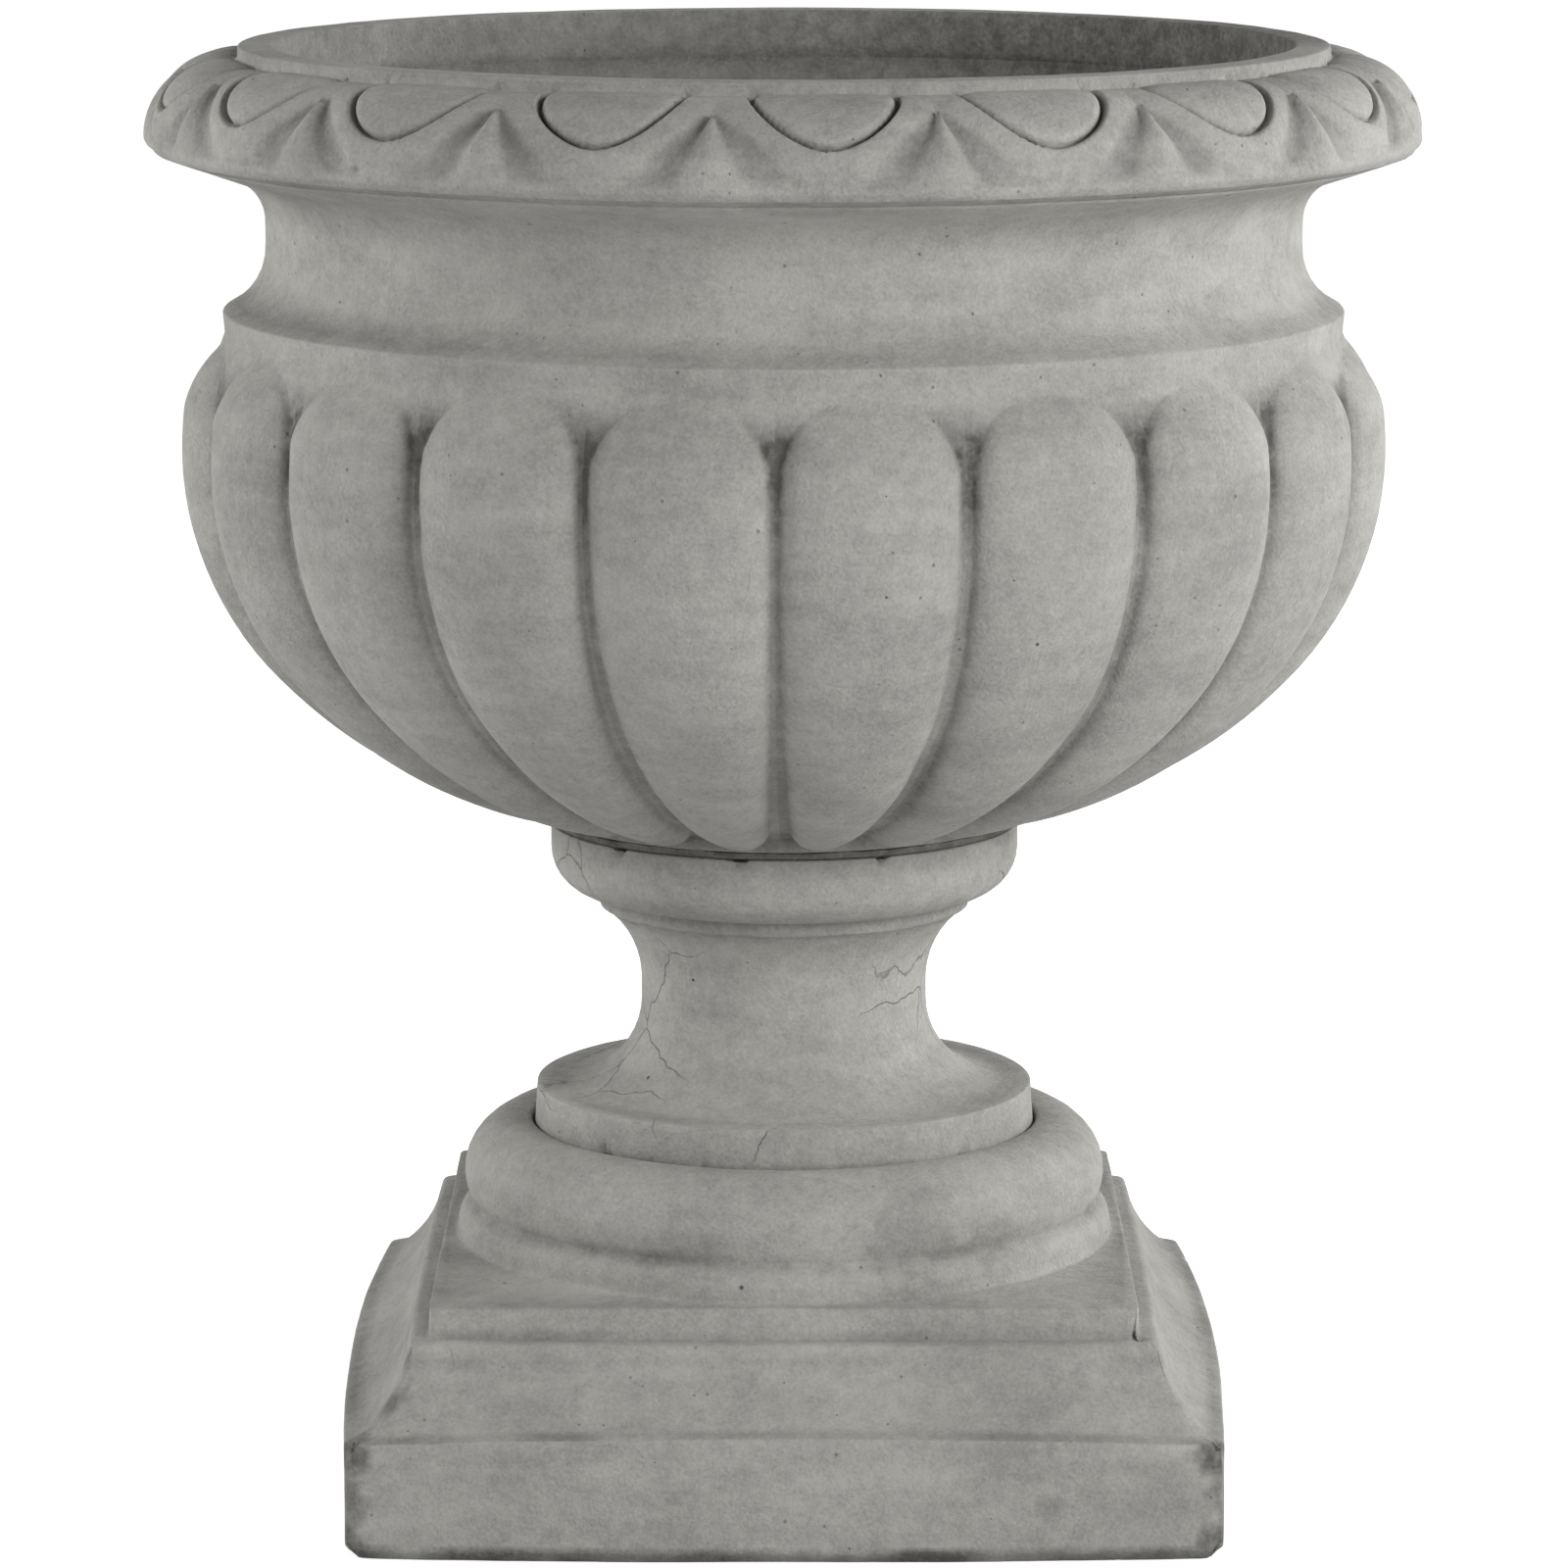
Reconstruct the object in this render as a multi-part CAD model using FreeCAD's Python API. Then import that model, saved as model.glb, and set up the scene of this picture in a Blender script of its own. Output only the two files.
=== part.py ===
import FreeCAD, Part

# Garden urn planter in cast stone: a gadrooned bowl with an egg-and-dart rim, on a turned
# stem and a square plinth. The three castings are bedded on mortar and held together by one
# threaded rod through the drain bore. Millimetres, +Z up, origin under the middle of the
# plinth on the ground. A radius is a distance from the upright axis, a level is a height
# over the piece's own seat, and the front of the urn faces -Y.

import math
import os

V = FreeCAD.Vector
AXIS = V(0, 0, 0)
UP = V(0, 0, 1)

# --- plinth -------------------------------------------------------------------------------
slab_width = 401.4           # square slab that stands on the ground
slab_height = 57.9
slab_foot_chamfer = 5.5      # worn bottom arris
slab_top_fall = 2.9          # the top of the slab falls this far to its edge, to shed water
slab_top_round = 1.5
moulding_ledge = 9.2         # from the face of the slab in to the foot of the moulding
moulding_spread = 18.75      # from the foot of the moulding in to its top
moulding_height = 37.5
moulding_radius = 62.0
shoulder_round = 4.0
block_ledge = 9.45           # from the top of the moulding in to the low square block
block_height = 14.6
apron_ledge = 6.3            # from the face of the block in to the round step on it
apron_height = 16.5          # from the block up to the crease under the torus
apron_side = 5.0             # height of its upright side, which then curves in to the crease
torus_ledge = 3.3            # from the round step in to the widest part of the torus
torus_section_radius = 26.5
torus_dip = 13.5             # the round section of the torus runs on this far below the crease
foot_socket_depth = 6.1      # the stem stands this far down inside the torus
plinth_wall = 46.0           # wall at the ground, round the hollow underside
plinth_roof = 52.0           # solid depth over the hollow
hollow_shoulder = 52.0       # from the round step in to the top of the hollow
hollow_corner = 24.0

# --- stem ---------------------------------------------------------------------------------
foot_ledge = 33.8            # from the widest part of the torus in to the foot
foot_height = 21.0
foot_draft = 1.4             # the foot is this much smaller at its top
foot_shelf = 10.2            # from the top edge of the foot in to the hollow
throat_radius = 68.3
throat_height = 9.0          # straight stretch at the narrowest point
upper_hollow_radius = 44.0
upper_hollow_rise = 36.0
bead_step = 1.4              # small band over the hollow
bead_height = 7.0
ring_step = 1.6              # from the bead out to the quarter round
ring_curve_radius = 21.5     # quarter round under the flat band
ring_height = 12.5           # flat band that the bowl rests on

# --- bedding ------------------------------------------------------------------------------
bowl_bed_thickness = 3.0
foot_bed_thickness = 3.0
bed_rake = 2.5               # the mortar is raked back this far from the edge

# --- bowl body ----------------------------------------------------------------------------
body_radius = 284.5          # crest of the gadroons at the widest point
body_level = 176.0           # level of the widest point
body_side_radius = 155.0     # upright curve of the side
body_side_angle = 41.4       # where the flatter curve of the underside takes over
seat_overhang = 0.5          # the lowest edge of the bowl stands this far past the stem
gadroon_count = 20
gadroon_phase = 8.2          # middle of one gadroon, in degrees from the front
gadroon_depth = 10.0         # crest over valley at the widest point
gadroon_depth_low = 7.0      # the same, beside the seat
gadroon_fill = 0.95          # share of its sector that a gadroon covers
gadroon_fill_side = 0.85     # the same, where the side turns under
gadroon_fill_low = 0.62      # the same, beside the seat
gadroon_nose_rise = 21.0     # from the widest point up to where the crest rounds over
gadroon_nose_radius = 52.0
gadroon_nose_overrun = 1.0   # the nose ends this far inside the core
gadroon_sink = 4.0           # a gadroon is let into the core this far, so that they merge
gadroon_end_gap = 1.0        # lowest level of the gadroons
band_inset = 20.9            # from the widest point in to the plain band
band_rise = 55.0             # from the widest point up to the underside of the band
band_height = 11.0
neck_inset = 20.2            # from the band in to the neck
neck_height = 12.0
neck_foot_radius = 32.0      # hollow between band and neck
bowl_floor = 42.0            # thickness over the seat
bowl_wall = 31.0             # wall at the neck
bowl_floor_radius = 72.4     # flat floor, inside the curve up to the wall
spigot_radius = 55.0         # locating spigots under bowl and stem
spigot_height = 14.0
socket_clearance = 2.0       # round and under a spigot
drain_radius = 25.0          # drain bore through all three castings

# --- bowl rim -----------------------------------------------------------------------------
neck_top_radius = 22.0       # hollow between neck and rim
rim_underside_angle = 19.0
rim_overhang = 14.9          # widest point of the rim past that of the body
rim_tuck = 3.4               # the lower edge of the rim is drawn in this far
rim_tuck_height = 5.0        # from the widest point down to the lower edge
rim_tuck_curve = 9.0
rim_curve_radius = 37.5      # bold quarter round
lip_inset = 43.9             # from the widest point of the rim in to the lip
lip_height = 6.0
lip_thickness = 17.6
lip_depth = 20.0             # straight stretch inside the lip, where a liner pot drops in
lip_round = 1.8
egg_count = 18
egg_phase = 3.7              # middle of one egg, in degrees from the front
relief_depth = 5.0
relief_lean = 50.0           # direction in which the pockets are cut, in degrees over level
relief_start = 0.6           # the relief starts this far down from the lip
egg_hole_width = 13.9        # degrees round the rim, at the lip
egg_hole_length = 46.5       # down the curve of the rim, from the lip
egg_side_length = 10.2       # its sides run straight this far
egg_bend_width = 10.0        # width of the hole at the bend of its sides, in degrees
egg_bend_length = 32.5
egg_gap = 3.0                # dark gap between egg and surround
egg_proud = 1.6              # crown of an egg over the surround
egg_lean = 80.0              # direction of the crown, in degrees over level
husk_apex_length = 27.0      # where two surrounds part and a dart begins
husk_bend_width = 14.4       # width of a surround at the bend of its sides, in degrees
husk_bend_length = 46.0
husk_foot_width = 3.6
husk_length = 60.5
dart_length = 64.5
dart_width = 8.0             # degrees round the rim, at the foot of the dart
dart_bend_width = 3.8        # the same, at the bend of its sides
dart_bend_length = 50.3
dart_tip_width = 0.5

# --- fixings ------------------------------------------------------------------------------
rod_diameter = 12.0
rod_hole_clearance = 0.75    # round the rod, in bars and washers
rod_end = 7.0                # rod past each nut
bar_lap = 30.0               # bridge bars reach this far past the drain bore
drain_way = 10.0             # open way for water on each side of a bar
bar_thickness = 8.0
bar_corner = 4.0
pad_length = 24.0
pad_thickness = 4.0
washer_margin = 1.0          # from the side of a bar in to the washer
washer_thickness = 2.5
nut_across_flats = 19.0
nut_height = 10.0
nut_chamfer = 1.2

# --- widths that follow from the steps ----------------------------------------------------
moulding_foot = slab_width / 2 - moulding_ledge
moulding_top = moulding_foot - moulding_spread
block = moulding_top - block_ledge
apron_radius = block - apron_ledge
torus_radius = apron_radius - torus_ledge
torus_centre_radius = torus_radius - torus_section_radius
foot_radius = torus_radius - foot_ledge
lower_hollow_radius = foot_radius - foot_draft - foot_shelf - throat_radius
upper_hollow_end = throat_radius + upper_hollow_radius - math.sqrt(
    upper_hollow_radius ** 2 - upper_hollow_rise ** 2)
bead_radius = upper_hollow_end + bead_step
ring_radius = bead_radius + ring_step + ring_curve_radius
seat_radius = ring_radius + seat_overhang
band_radius = body_radius - band_inset
neck_radius = band_radius - neck_inset
inside_radius = neck_radius - bowl_wall
rim_radius = body_radius + rim_overhang
rim_edge_radius = rim_radius - rim_tuck
lip_radius = rim_radius - lip_inset
socket_radius = spigot_radius + socket_clearance
bar_length = 2 * (drain_radius + bar_lap)
bar_width = 2 * (drain_radius - drain_way)

# --- levels over the ground ---------------------------------------------------------------
moulding_top_z = slab_height + moulding_height
block_top_z = moulding_top_z + block_height
apron_top_z = block_top_z + apron_height
torus_z = apron_top_z - torus_dip + torus_section_radius
torus_at_foot = math.sqrt(torus_section_radius ** 2 - (torus_centre_radius - foot_radius) ** 2)
plinth_seat_z = torus_z + torus_at_foot - foot_socket_depth
foot_z = plinth_seat_z + foot_bed_thickness
shelf_z = foot_z + foot_height
throat_z = shelf_z + lower_hollow_radius
upper_hollow_z = throat_z + throat_height
bead_z = upper_hollow_z + upper_hollow_rise
ring_curve_z = bead_z + bead_height
stem_top_z = ring_curve_z + ring_curve_radius + ring_height
seat_z = stem_top_z + bowl_bed_thickness
body_z = seat_z + body_level
floor_z = seat_z + bowl_floor
band_z = body_z + band_rise
neck_z = band_z + band_height + math.sqrt(
    neck_foot_radius ** 2 - (neck_foot_radius - band_radius + neck_radius) ** 2)
joint_z = neck_z + neck_height / 2
neck_top_z = neck_z + neck_height
hollow_top_z = plinth_seat_z - plinth_roof
socket_depth = spigot_height + socket_clearance


# --- drawing helpers ----------------------------------------------------------------------
class Outline:
    """A closed outline in the upright XZ plane, drawn point by point."""

    def __init__(self, x, z):
        self.first = V(x, 0, z)
        self.last = self.first
        self.edges = []

    def line(self, x, z):
        point = V(x, 0, z)
        self.edges.append(Part.LineSegment(self.last, point).toShape())
        self.last = point
        return self

    def arc(self, x, z, radius):
        """Arc that bulges to the right of its run; with a negative radius, to the left."""
        point = V(x, 0, z)
        run = point - self.last
        bulge = abs(radius) - math.sqrt(radius ** 2 - (run.Length / 2) ** 2)
        side = V(run.z, 0, -run.x).normalize() * math.copysign(bulge, radius)
        middle = (self.last + point) / 2 + side
        self.edges.append(Part.Arc(self.last, middle, point).toShape())
        self.last = point
        return self

    def face(self):
        if self.last.distanceToPoint(self.first) > 1e-6:
            self.line(self.first.x, self.first.z)
        return Part.Face(Part.Wire(self.edges))


def turned(outline):
    return outline.face().revolve(AXIS, UP, 360)


def turned_sector(outline, count):
    """One of count equal sectors of a turned solid, centred on the X axis."""
    sector = outline.face().revolve(AXIS, UP, 360 / count)
    sector.rotate(AXIS, UP, -180 / count)
    return sector


def cylinder(radius, low, high):
    return Part.makeCylinder(radius, high - low, V(0, 0, low))


def is_cut(face, count):
    """Whether a face of a sector is one of the two flat cuts that bound it."""
    if not isinstance(face.Surface, Part.Plane):
        return False
    centre = face.CenterOfMass
    return abs(abs(math.atan2(centre.y, centre.x)) - math.pi / count) < 1e-6


def ring_of_sectors(sector, count, phase):
    """Solid ring made of count copies of a sector, one centred phase degrees past the front."""
    skin = [face for face in sector.Faces if not is_cut(face, count)]
    copies = []
    for index in range(count):
        for face in skin:
            copy = face.copy()
            copy.rotate(AXIS, UP, phase - 90 + index * 360 / count)
            copies.append(copy)
    shell = Part.Compound(copies)
    shell.sewShape(1e-4)
    ring = Part.Solid(shell.Shells[0])
    return ring if ring.Volume > 0 else ring.reversed()


# --- bowl body with gadroons --------------------------------------------------------------
def along(centre, radius, angle):
    """Point of an upright arc; the angle is in radians, measured down from level."""
    return V(centre.x + radius * math.cos(angle), 0, centre.z - radius * math.sin(angle))


def under_arc(start, start_angle, end):
    """Centre, radius and last angle of the arc that leaves start tangent and meets end."""
    mean_angle = math.atan2(start.x - end.x, start.z - end.z)
    end_angle = 2 * mean_angle - start_angle
    radius = (start.x - end.x) / (math.cos(start_angle) - math.cos(end_angle))
    return start - along(AXIS, radius, start_angle), radius, end_angle


side_centre = V(body_radius - body_side_radius, 0, body_z)
side_angle = math.radians(body_side_angle)
crest_turn = along(side_centre, body_side_radius, side_angle)
crest_end = V(seat_radius, 0, seat_z + gadroon_end_gap)
crest_centre, crest_radius, crest_end_angle = under_arc(crest_turn, side_angle, crest_end)
core_side_radius = body_side_radius - gadroon_depth
core_turn = along(side_centre, core_side_radius, side_angle)
core_end = V(seat_radius, 0, seat_z + gadroon_end_gap + gadroon_depth_low)
core_radius = under_arc(core_turn, side_angle, core_end)[1]


def gadroon_section(crest, inward, depth, fill):
    """Cross section of a gadroon: a round back, and straight sides that lie in the core."""
    core_distance = crest.x + inward.x * depth
    half_angle = fill * math.pi / gadroon_count
    half_width = core_distance * math.sin(half_angle)
    height = depth - inward.x * core_distance * (1 - math.cos(half_angle))
    left = crest + inward * height - V(0, half_width, 0)
    right = crest + inward * height + V(0, half_width, 0)
    below = inward * gadroon_sink
    return Part.Wire([Part.Arc(left, crest, right).toShape(),
                      Part.LineSegment(right, right + below).toShape(),
                      Part.LineSegment(right + below, left + below).toShape(),
                      Part.LineSegment(left + below, left).toShape()])


def gadroon():
    """One gadroon on the X axis, lofted from its nose down the side and in to the seat."""
    nose_angle = -math.asin(gadroon_nose_rise / body_side_radius)
    nose_drop = gadroon_depth + gadroon_nose_overrun
    nose_run = math.sqrt(nose_drop * (2 * gadroon_nose_radius - nose_drop))
    sections = []
    for share in (1.0, 0.8, 0.6, 0.4, 0.2):
        run = share * nose_run
        drop = gadroon_nose_radius - math.sqrt(gadroon_nose_radius ** 2 - run ** 2)
        angle = nose_angle - run / body_side_radius
        crest = along(side_centre, body_side_radius - drop, angle)
        sections.append(gadroon_section(crest, along(AXIS, -1, angle), gadroon_depth,
                                        gadroon_fill))
    for share in (0.0, 0.25, 0.5, 0.75, 1.0):
        angle = nose_angle + share * (side_angle - nose_angle)
        crest = along(side_centre, body_side_radius, angle)
        sections.append(gadroon_section(crest, along(AXIS, -1, angle), gadroon_depth,
                                        gadroon_fill + share * (gadroon_fill_side - gadroon_fill)))
    for share in (0.25, 0.5, 0.75, 1.0):
        angle = side_angle + share * (crest_end_angle - side_angle)
        crest = along(crest_centre, crest_radius, angle)
        depth = gadroon_depth + share * (gadroon_depth_low - gadroon_depth)
        sections.append(gadroon_section(crest, along(AXIS, -1, angle), depth,
                                        gadroon_fill_side + share
                                        * (gadroon_fill_low - gadroon_fill_side)))
    return Part.makeLoft(sections, True, False)


def bowl_body():
    """The bowl from its spigot up to the middle of the neck."""
    core_top = along(side_centre, core_side_radius,
                     -math.asin((band_z - body_z) / core_side_radius))
    core = Outline(drain_radius, seat_z - spigot_height)
    core.line(spigot_radius, seat_z - spigot_height)
    core.line(spigot_radius, seat_z)
    core.line(seat_radius, seat_z)
    core.line(core_end.x, core_end.z)
    core.arc(core_turn.x, core_turn.z, core_radius)
    core.arc(core_top.x, core_top.z, core_side_radius)
    core.line(band_radius, band_z + band_height)
    core.arc(neck_radius, neck_z, -neck_foot_radius)
    core.line(neck_radius, joint_z)
    core.line(inside_radius, joint_z)
    core.line(inside_radius, floor_z + inside_radius - bowl_floor_radius)
    core.arc(bowl_floor_radius, floor_z, bowl_floor_radius - inside_radius)
    core.line(drain_radius, floor_z)
    sector = turned_sector(core, gadroon_count).fuse(gadroon())
    return ring_of_sectors(sector, gadroon_count, gadroon_phase)


# --- bowl rim with egg and dart -----------------------------------------------------------
underside_angle = math.radians(rim_underside_angle)
neck_top_point = V(neck_radius + neck_top_radius * (1 - math.sin(underside_angle)), 0,
                   neck_top_z + neck_top_radius * math.cos(underside_angle))
rim_edge_z = neck_top_point.z + (rim_edge_radius - neck_top_point.x) * math.tan(underside_angle)
rim_centre = V(rim_radius - rim_curve_radius, 0, rim_edge_z + rim_tuck_height)
lip_foot_z = rim_centre.z + math.sqrt(rim_curve_radius ** 2 - (lip_radius - rim_centre.x) ** 2)
lip_top_z = rim_centre.z + rim_curve_radius + lip_height
lip_inside = lip_radius - lip_thickness
ogee_top_z = lip_top_z - lip_depth
ogee_radius = (((lip_inside - inside_radius) ** 2 + (ogee_top_z - joint_z) ** 2)
               / (4 * (lip_inside - inside_radius)))
relief_angle = math.radians(relief_lean)
relief_out = V(math.cos(relief_angle), 0, math.sin(relief_angle))
rim_start_angle = math.acos((lip_radius - rim_centre.x) / rim_curve_radius)


def on_rim(degrees, length):
    """Point on the rim, so far round it and so far down its curve from the lip."""
    angle = rim_start_angle - length / rim_curve_radius
    distance = rim_centre.x + rim_curve_radius * math.cos(angle)
    turn = math.radians(degrees)
    return V(distance * math.cos(turn), distance * math.sin(turn),
             rim_centre.z + rim_curve_radius * math.sin(angle))


def relief_cutter(curves, floor):
    """Pocket inside the curves, drawn as places on the rim, down to the relief floor."""
    edges = []
    for curve in curves:
        points = [on_rim(*place) for place in curve]
        points = [point - relief_out * (point - rim_centre).dot(relief_out) for point in points]
        edge = Part.LineSegment(*points) if len(points) == 2 else Part.Arc(*points)
        edges.append(edge.toShape())
    prism = Part.Face(Part.Wire(edges)).extrude(relief_out * (rim_curve_radius + lip_height))
    return prism.cut(floor)


def egg_hole():
    """Outline of the hole round an egg: square at the lip, pointed at its foot."""
    half = egg_hole_width / 2
    bend = egg_bend_width / 2
    return [[(-half, relief_start), (0, relief_start), (half, relief_start)],
            [(half, relief_start), (half, egg_side_length)],
            [(half, egg_side_length), (bend, egg_bend_length), (0, egg_hole_length)],
            [(0, egg_hole_length), (-bend, egg_bend_length), (-half, egg_side_length)],
            [(-half, egg_side_length), (-half, relief_start)]]


def dart_hollow(side):
    """Outline of the hollow between the surround of an egg and the dart on one side."""
    pitch = side * 180 / egg_count
    tip = pitch - side * dart_tip_width / 2
    bend = pitch - side * dart_bend_width / 2
    foot = pitch - side * dart_width / 2
    husk_bend = side * husk_bend_width / 2
    husk_foot = side * husk_foot_width / 2
    return [[(tip, husk_apex_length), (husk_bend, husk_bend_length), (husk_foot, husk_length)],
            [(husk_foot, husk_length), (foot, dart_length)],
            [(foot, dart_length), (bend, dart_bend_length), (tip, husk_apex_length)]]


def rim_egg():
    """An egg-shaped body on a level axis; its crown stands out of the hole in the relief."""
    lean = math.radians(egg_lean)
    crown = rim_curve_radius + egg_proud
    floor = rim_curve_radius - relief_depth
    span = lean - rim_start_angle + (egg_hole_length - egg_gap) / rim_curve_radius
    offset = (crown ** 2 - floor ** 2) / (2 * (crown - floor * math.cos(span)))
    radius = crown - offset
    half_hole = lip_radius * math.radians(egg_hole_width / 2) - egg_gap
    half_length = half_hole / math.sqrt(1 - ((floor - offset) / radius) ** 2)
    centre = rim_centre + V(math.cos(lean), 0, math.sin(lean)) * offset
    ellipse = Part.Ellipse(centre + V(0, half_length, 0), centre + V(radius, 0, 0), centre)
    curve = Part.ArcOfEllipse(ellipse, 0, math.pi).toShape()
    ends = [vertex.Point for vertex in curve.Vertexes]
    axis = Part.LineSegment(ends[1], ends[0]).toShape()
    return Part.Face(Part.Wire([curve, axis])).revolve(centre, V(0, 1, 0), 360)


def bowl_rim():
    """The bowl from the middle of the neck up to the lip."""
    section = Outline(inside_radius, joint_z)
    section.line(neck_radius, joint_z)
    section.line(neck_radius, neck_top_z)
    section.arc(neck_top_point.x, neck_top_point.z, -neck_top_radius)
    section.line(rim_edge_radius, rim_edge_z)
    section.arc(rim_radius, rim_centre.z, rim_tuck_curve)
    section.arc(lip_radius, lip_foot_z, rim_curve_radius)
    section.line(lip_radius, lip_top_z - lip_round)
    section.arc(lip_radius - lip_round, lip_top_z, lip_round)
    section.line(lip_inside + lip_round, lip_top_z)
    section.arc(lip_inside, lip_top_z - lip_round, lip_round)
    section.line(lip_inside, ogee_top_z)
    section.arc((lip_inside + inside_radius) / 2, (ogee_top_z + joint_z) / 2, -ogee_radius)
    section.arc(inside_radius, joint_z, ogee_radius)
    floor = Part.makeTorus(rim_centre.x, rim_curve_radius - relief_depth,
                           V(0, 0, rim_centre.z))
    outlines = [egg_hole(), dart_hollow(-1), dart_hollow(1)]
    cutters = [relief_cutter(outline, floor) for outline in outlines]
    sector = turned_sector(section, egg_count).cut(cutters).fuse(rim_egg())
    return ring_of_sectors(sector, egg_count, egg_phase)


def bowl():
    return bowl_body().fuse(bowl_rim()).removeSplitter()


# --- stem ---------------------------------------------------------------------------------
def pedestal_stem():
    """Turned stem: foot, hollow, bead and the flat ring that the bowl stands on."""
    section = Outline(drain_radius, foot_z - spigot_height)
    section.line(spigot_radius, foot_z - spigot_height)
    section.line(spigot_radius, foot_z)
    section.line(foot_radius, foot_z)
    section.line(foot_radius - foot_draft, shelf_z)
    section.line(throat_radius + lower_hollow_radius, shelf_z)
    section.arc(throat_radius, throat_z, -lower_hollow_radius)
    section.line(throat_radius, upper_hollow_z)
    section.arc(upper_hollow_end, bead_z, -upper_hollow_radius)
    section.line(bead_radius, bead_z)
    section.line(bead_radius, ring_curve_z)
    section.line(ring_radius - ring_curve_radius, ring_curve_z)
    section.arc(ring_radius, ring_curve_z + ring_curve_radius, ring_curve_radius)
    section.line(ring_radius, stem_top_z)
    section.line(socket_radius, stem_top_z)
    section.line(socket_radius, stem_top_z - socket_depth)
    section.line(drain_radius, stem_top_z - socket_depth)
    return turned(section)


# --- plinth -------------------------------------------------------------------------------
def plinth_side():
    """Moulded section of the square plinth, run straight through from side to side."""
    slab = slab_width / 2
    slab_edge_z = slab_height - slab_top_fall
    section = Outline(-slab + slab_foot_chamfer, 0)
    section.line(slab - slab_foot_chamfer, 0)
    section.line(slab, slab_foot_chamfer)
    section.line(slab, slab_edge_z - slab_top_round)
    section.arc(slab - slab_top_round, slab_edge_z, slab_top_round)
    section.line(moulding_foot, slab_height)
    section.arc(moulding_top, moulding_top_z - shoulder_round, -moulding_radius)
    section.arc(moulding_top - shoulder_round, moulding_top_z, shoulder_round)
    section.line(block, moulding_top_z)
    section.line(block, block_top_z)
    section.line(-block, block_top_z)
    section.line(-block, moulding_top_z)
    section.line(-moulding_top + shoulder_round, moulding_top_z)
    section.arc(-moulding_top, moulding_top_z - shoulder_round, shoulder_round)
    section.arc(-moulding_foot, slab_height, -moulding_radius)
    section.line(-slab + slab_top_round, slab_edge_z)
    section.arc(-slab, slab_edge_z - slab_top_round, slab_top_round)
    section.line(-slab, slab_foot_chamfer)
    run = section.face()
    run.translate(V(0, -slab, 0))
    return run.extrude(V(0, slab_width, 0))


def plinth_hollow():
    """Core of the hollow underside: a tapered square with rounded corners."""
    rings = []
    for half_width, level in ((slab_width / 2 - plinth_wall, 0),
                              (apron_radius - hollow_shoulder, hollow_top_z)):
        rings.append(rounded_square(half_width, hollow_corner, level))
    return Part.makeLoft(rings, True, True)


def rounded_square(half_width, corner, level):
    """Level square wire with rounded corners, centred on the axis."""
    flank = half_width - corner
    edges = []
    for turn in range(4):
        side = Part.LineSegment(V(half_width, -flank, level), V(half_width, flank, level)).toShape()
        bend = Part.makeCircle(corner, V(flank, flank, level), UP, 0, 90)
        for edge in (side, bend):
            edge.rotate(AXIS, UP, 90 * turn)
            edges.append(edge)
    return Part.Wire(edges)


def plinth():
    """Square moulded plinth with a round step and torus, hollow underneath."""
    side = plinth_side()
    across = side.copy()
    across.rotate(AXIS, UP, 90)
    section = Outline(drain_radius, hollow_top_z)
    section.line(apron_radius, hollow_top_z)
    section.line(apron_radius, block_top_z + apron_side)
    reach = math.sqrt(torus_section_radius ** 2 - (torus_z - apron_top_z) ** 2)
    shoulder_width = apron_radius - torus_centre_radius - reach
    shoulder_height = apron_height - apron_side
    section.arc(torus_centre_radius + reach, apron_top_z,
                (shoulder_width ** 2 + shoulder_height ** 2) / (2 * shoulder_width))
    seat_reach = math.sqrt(torus_section_radius ** 2
                           - (torus_centre_radius - foot_radius - socket_clearance) ** 2)
    section.arc(torus_radius, torus_z, torus_section_radius)
    section.arc(foot_radius + socket_clearance, torus_z + seat_reach, torus_section_radius)
    section.line(foot_radius + socket_clearance, plinth_seat_z)
    section.line(socket_radius, plinth_seat_z)
    section.line(socket_radius, plinth_seat_z - socket_depth)
    section.line(drain_radius, plinth_seat_z - socket_depth)
    body = side.common(across).fuse(turned(section))
    bore = cylinder(drain_radius, 0, plinth_seat_z)
    return body.cut([plinth_hollow(), bore]).removeSplitter()


# --- bedding ------------------------------------------------------------------------------
def mortar_bed(outer_radius, low, thickness):
    bed = cylinder(outer_radius - bed_rake, low, low + thickness)
    return bed.cut(cylinder(socket_radius, low, low + thickness))


# --- fixings ------------------------------------------------------------------------------
def bridge_bar(low):
    """Flat bar over one end of the drain bore, with a hole for the rod."""
    bar = Part.makeBox(bar_length, bar_width, bar_thickness,
                       V(-bar_length / 2, -bar_width / 2, low))
    bar = bar.makeFillet(bar_corner, [edge for edge in bar.Edges if is_upright(edge)])
    return bar.cut(cylinder(rod_diameter / 2 + rod_hole_clearance, low, low + bar_thickness))


def is_upright(edge):
    return edge.BoundBox.XLength < 1e-6 and edge.BoundBox.YLength < 1e-6


def bridge_pads(low):
    """Pair of rubber pads between a bar and the casting, one at each end of the bar."""
    pads = []
    for side in (-1, 1):
        middle = side * (bar_length - pad_length) / 2
        pads.append(Part.makeBox(pad_length, bar_width, pad_thickness,
                                 V(middle - pad_length / 2, -bar_width / 2, low)))
    return Part.makeCompound(pads)


def washer(low):
    disc = cylinder(bar_width / 2 - washer_margin, low, low + washer_thickness)
    return disc.cut(cylinder(rod_diameter / 2 + rod_hole_clearance, low, low + washer_thickness))


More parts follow.
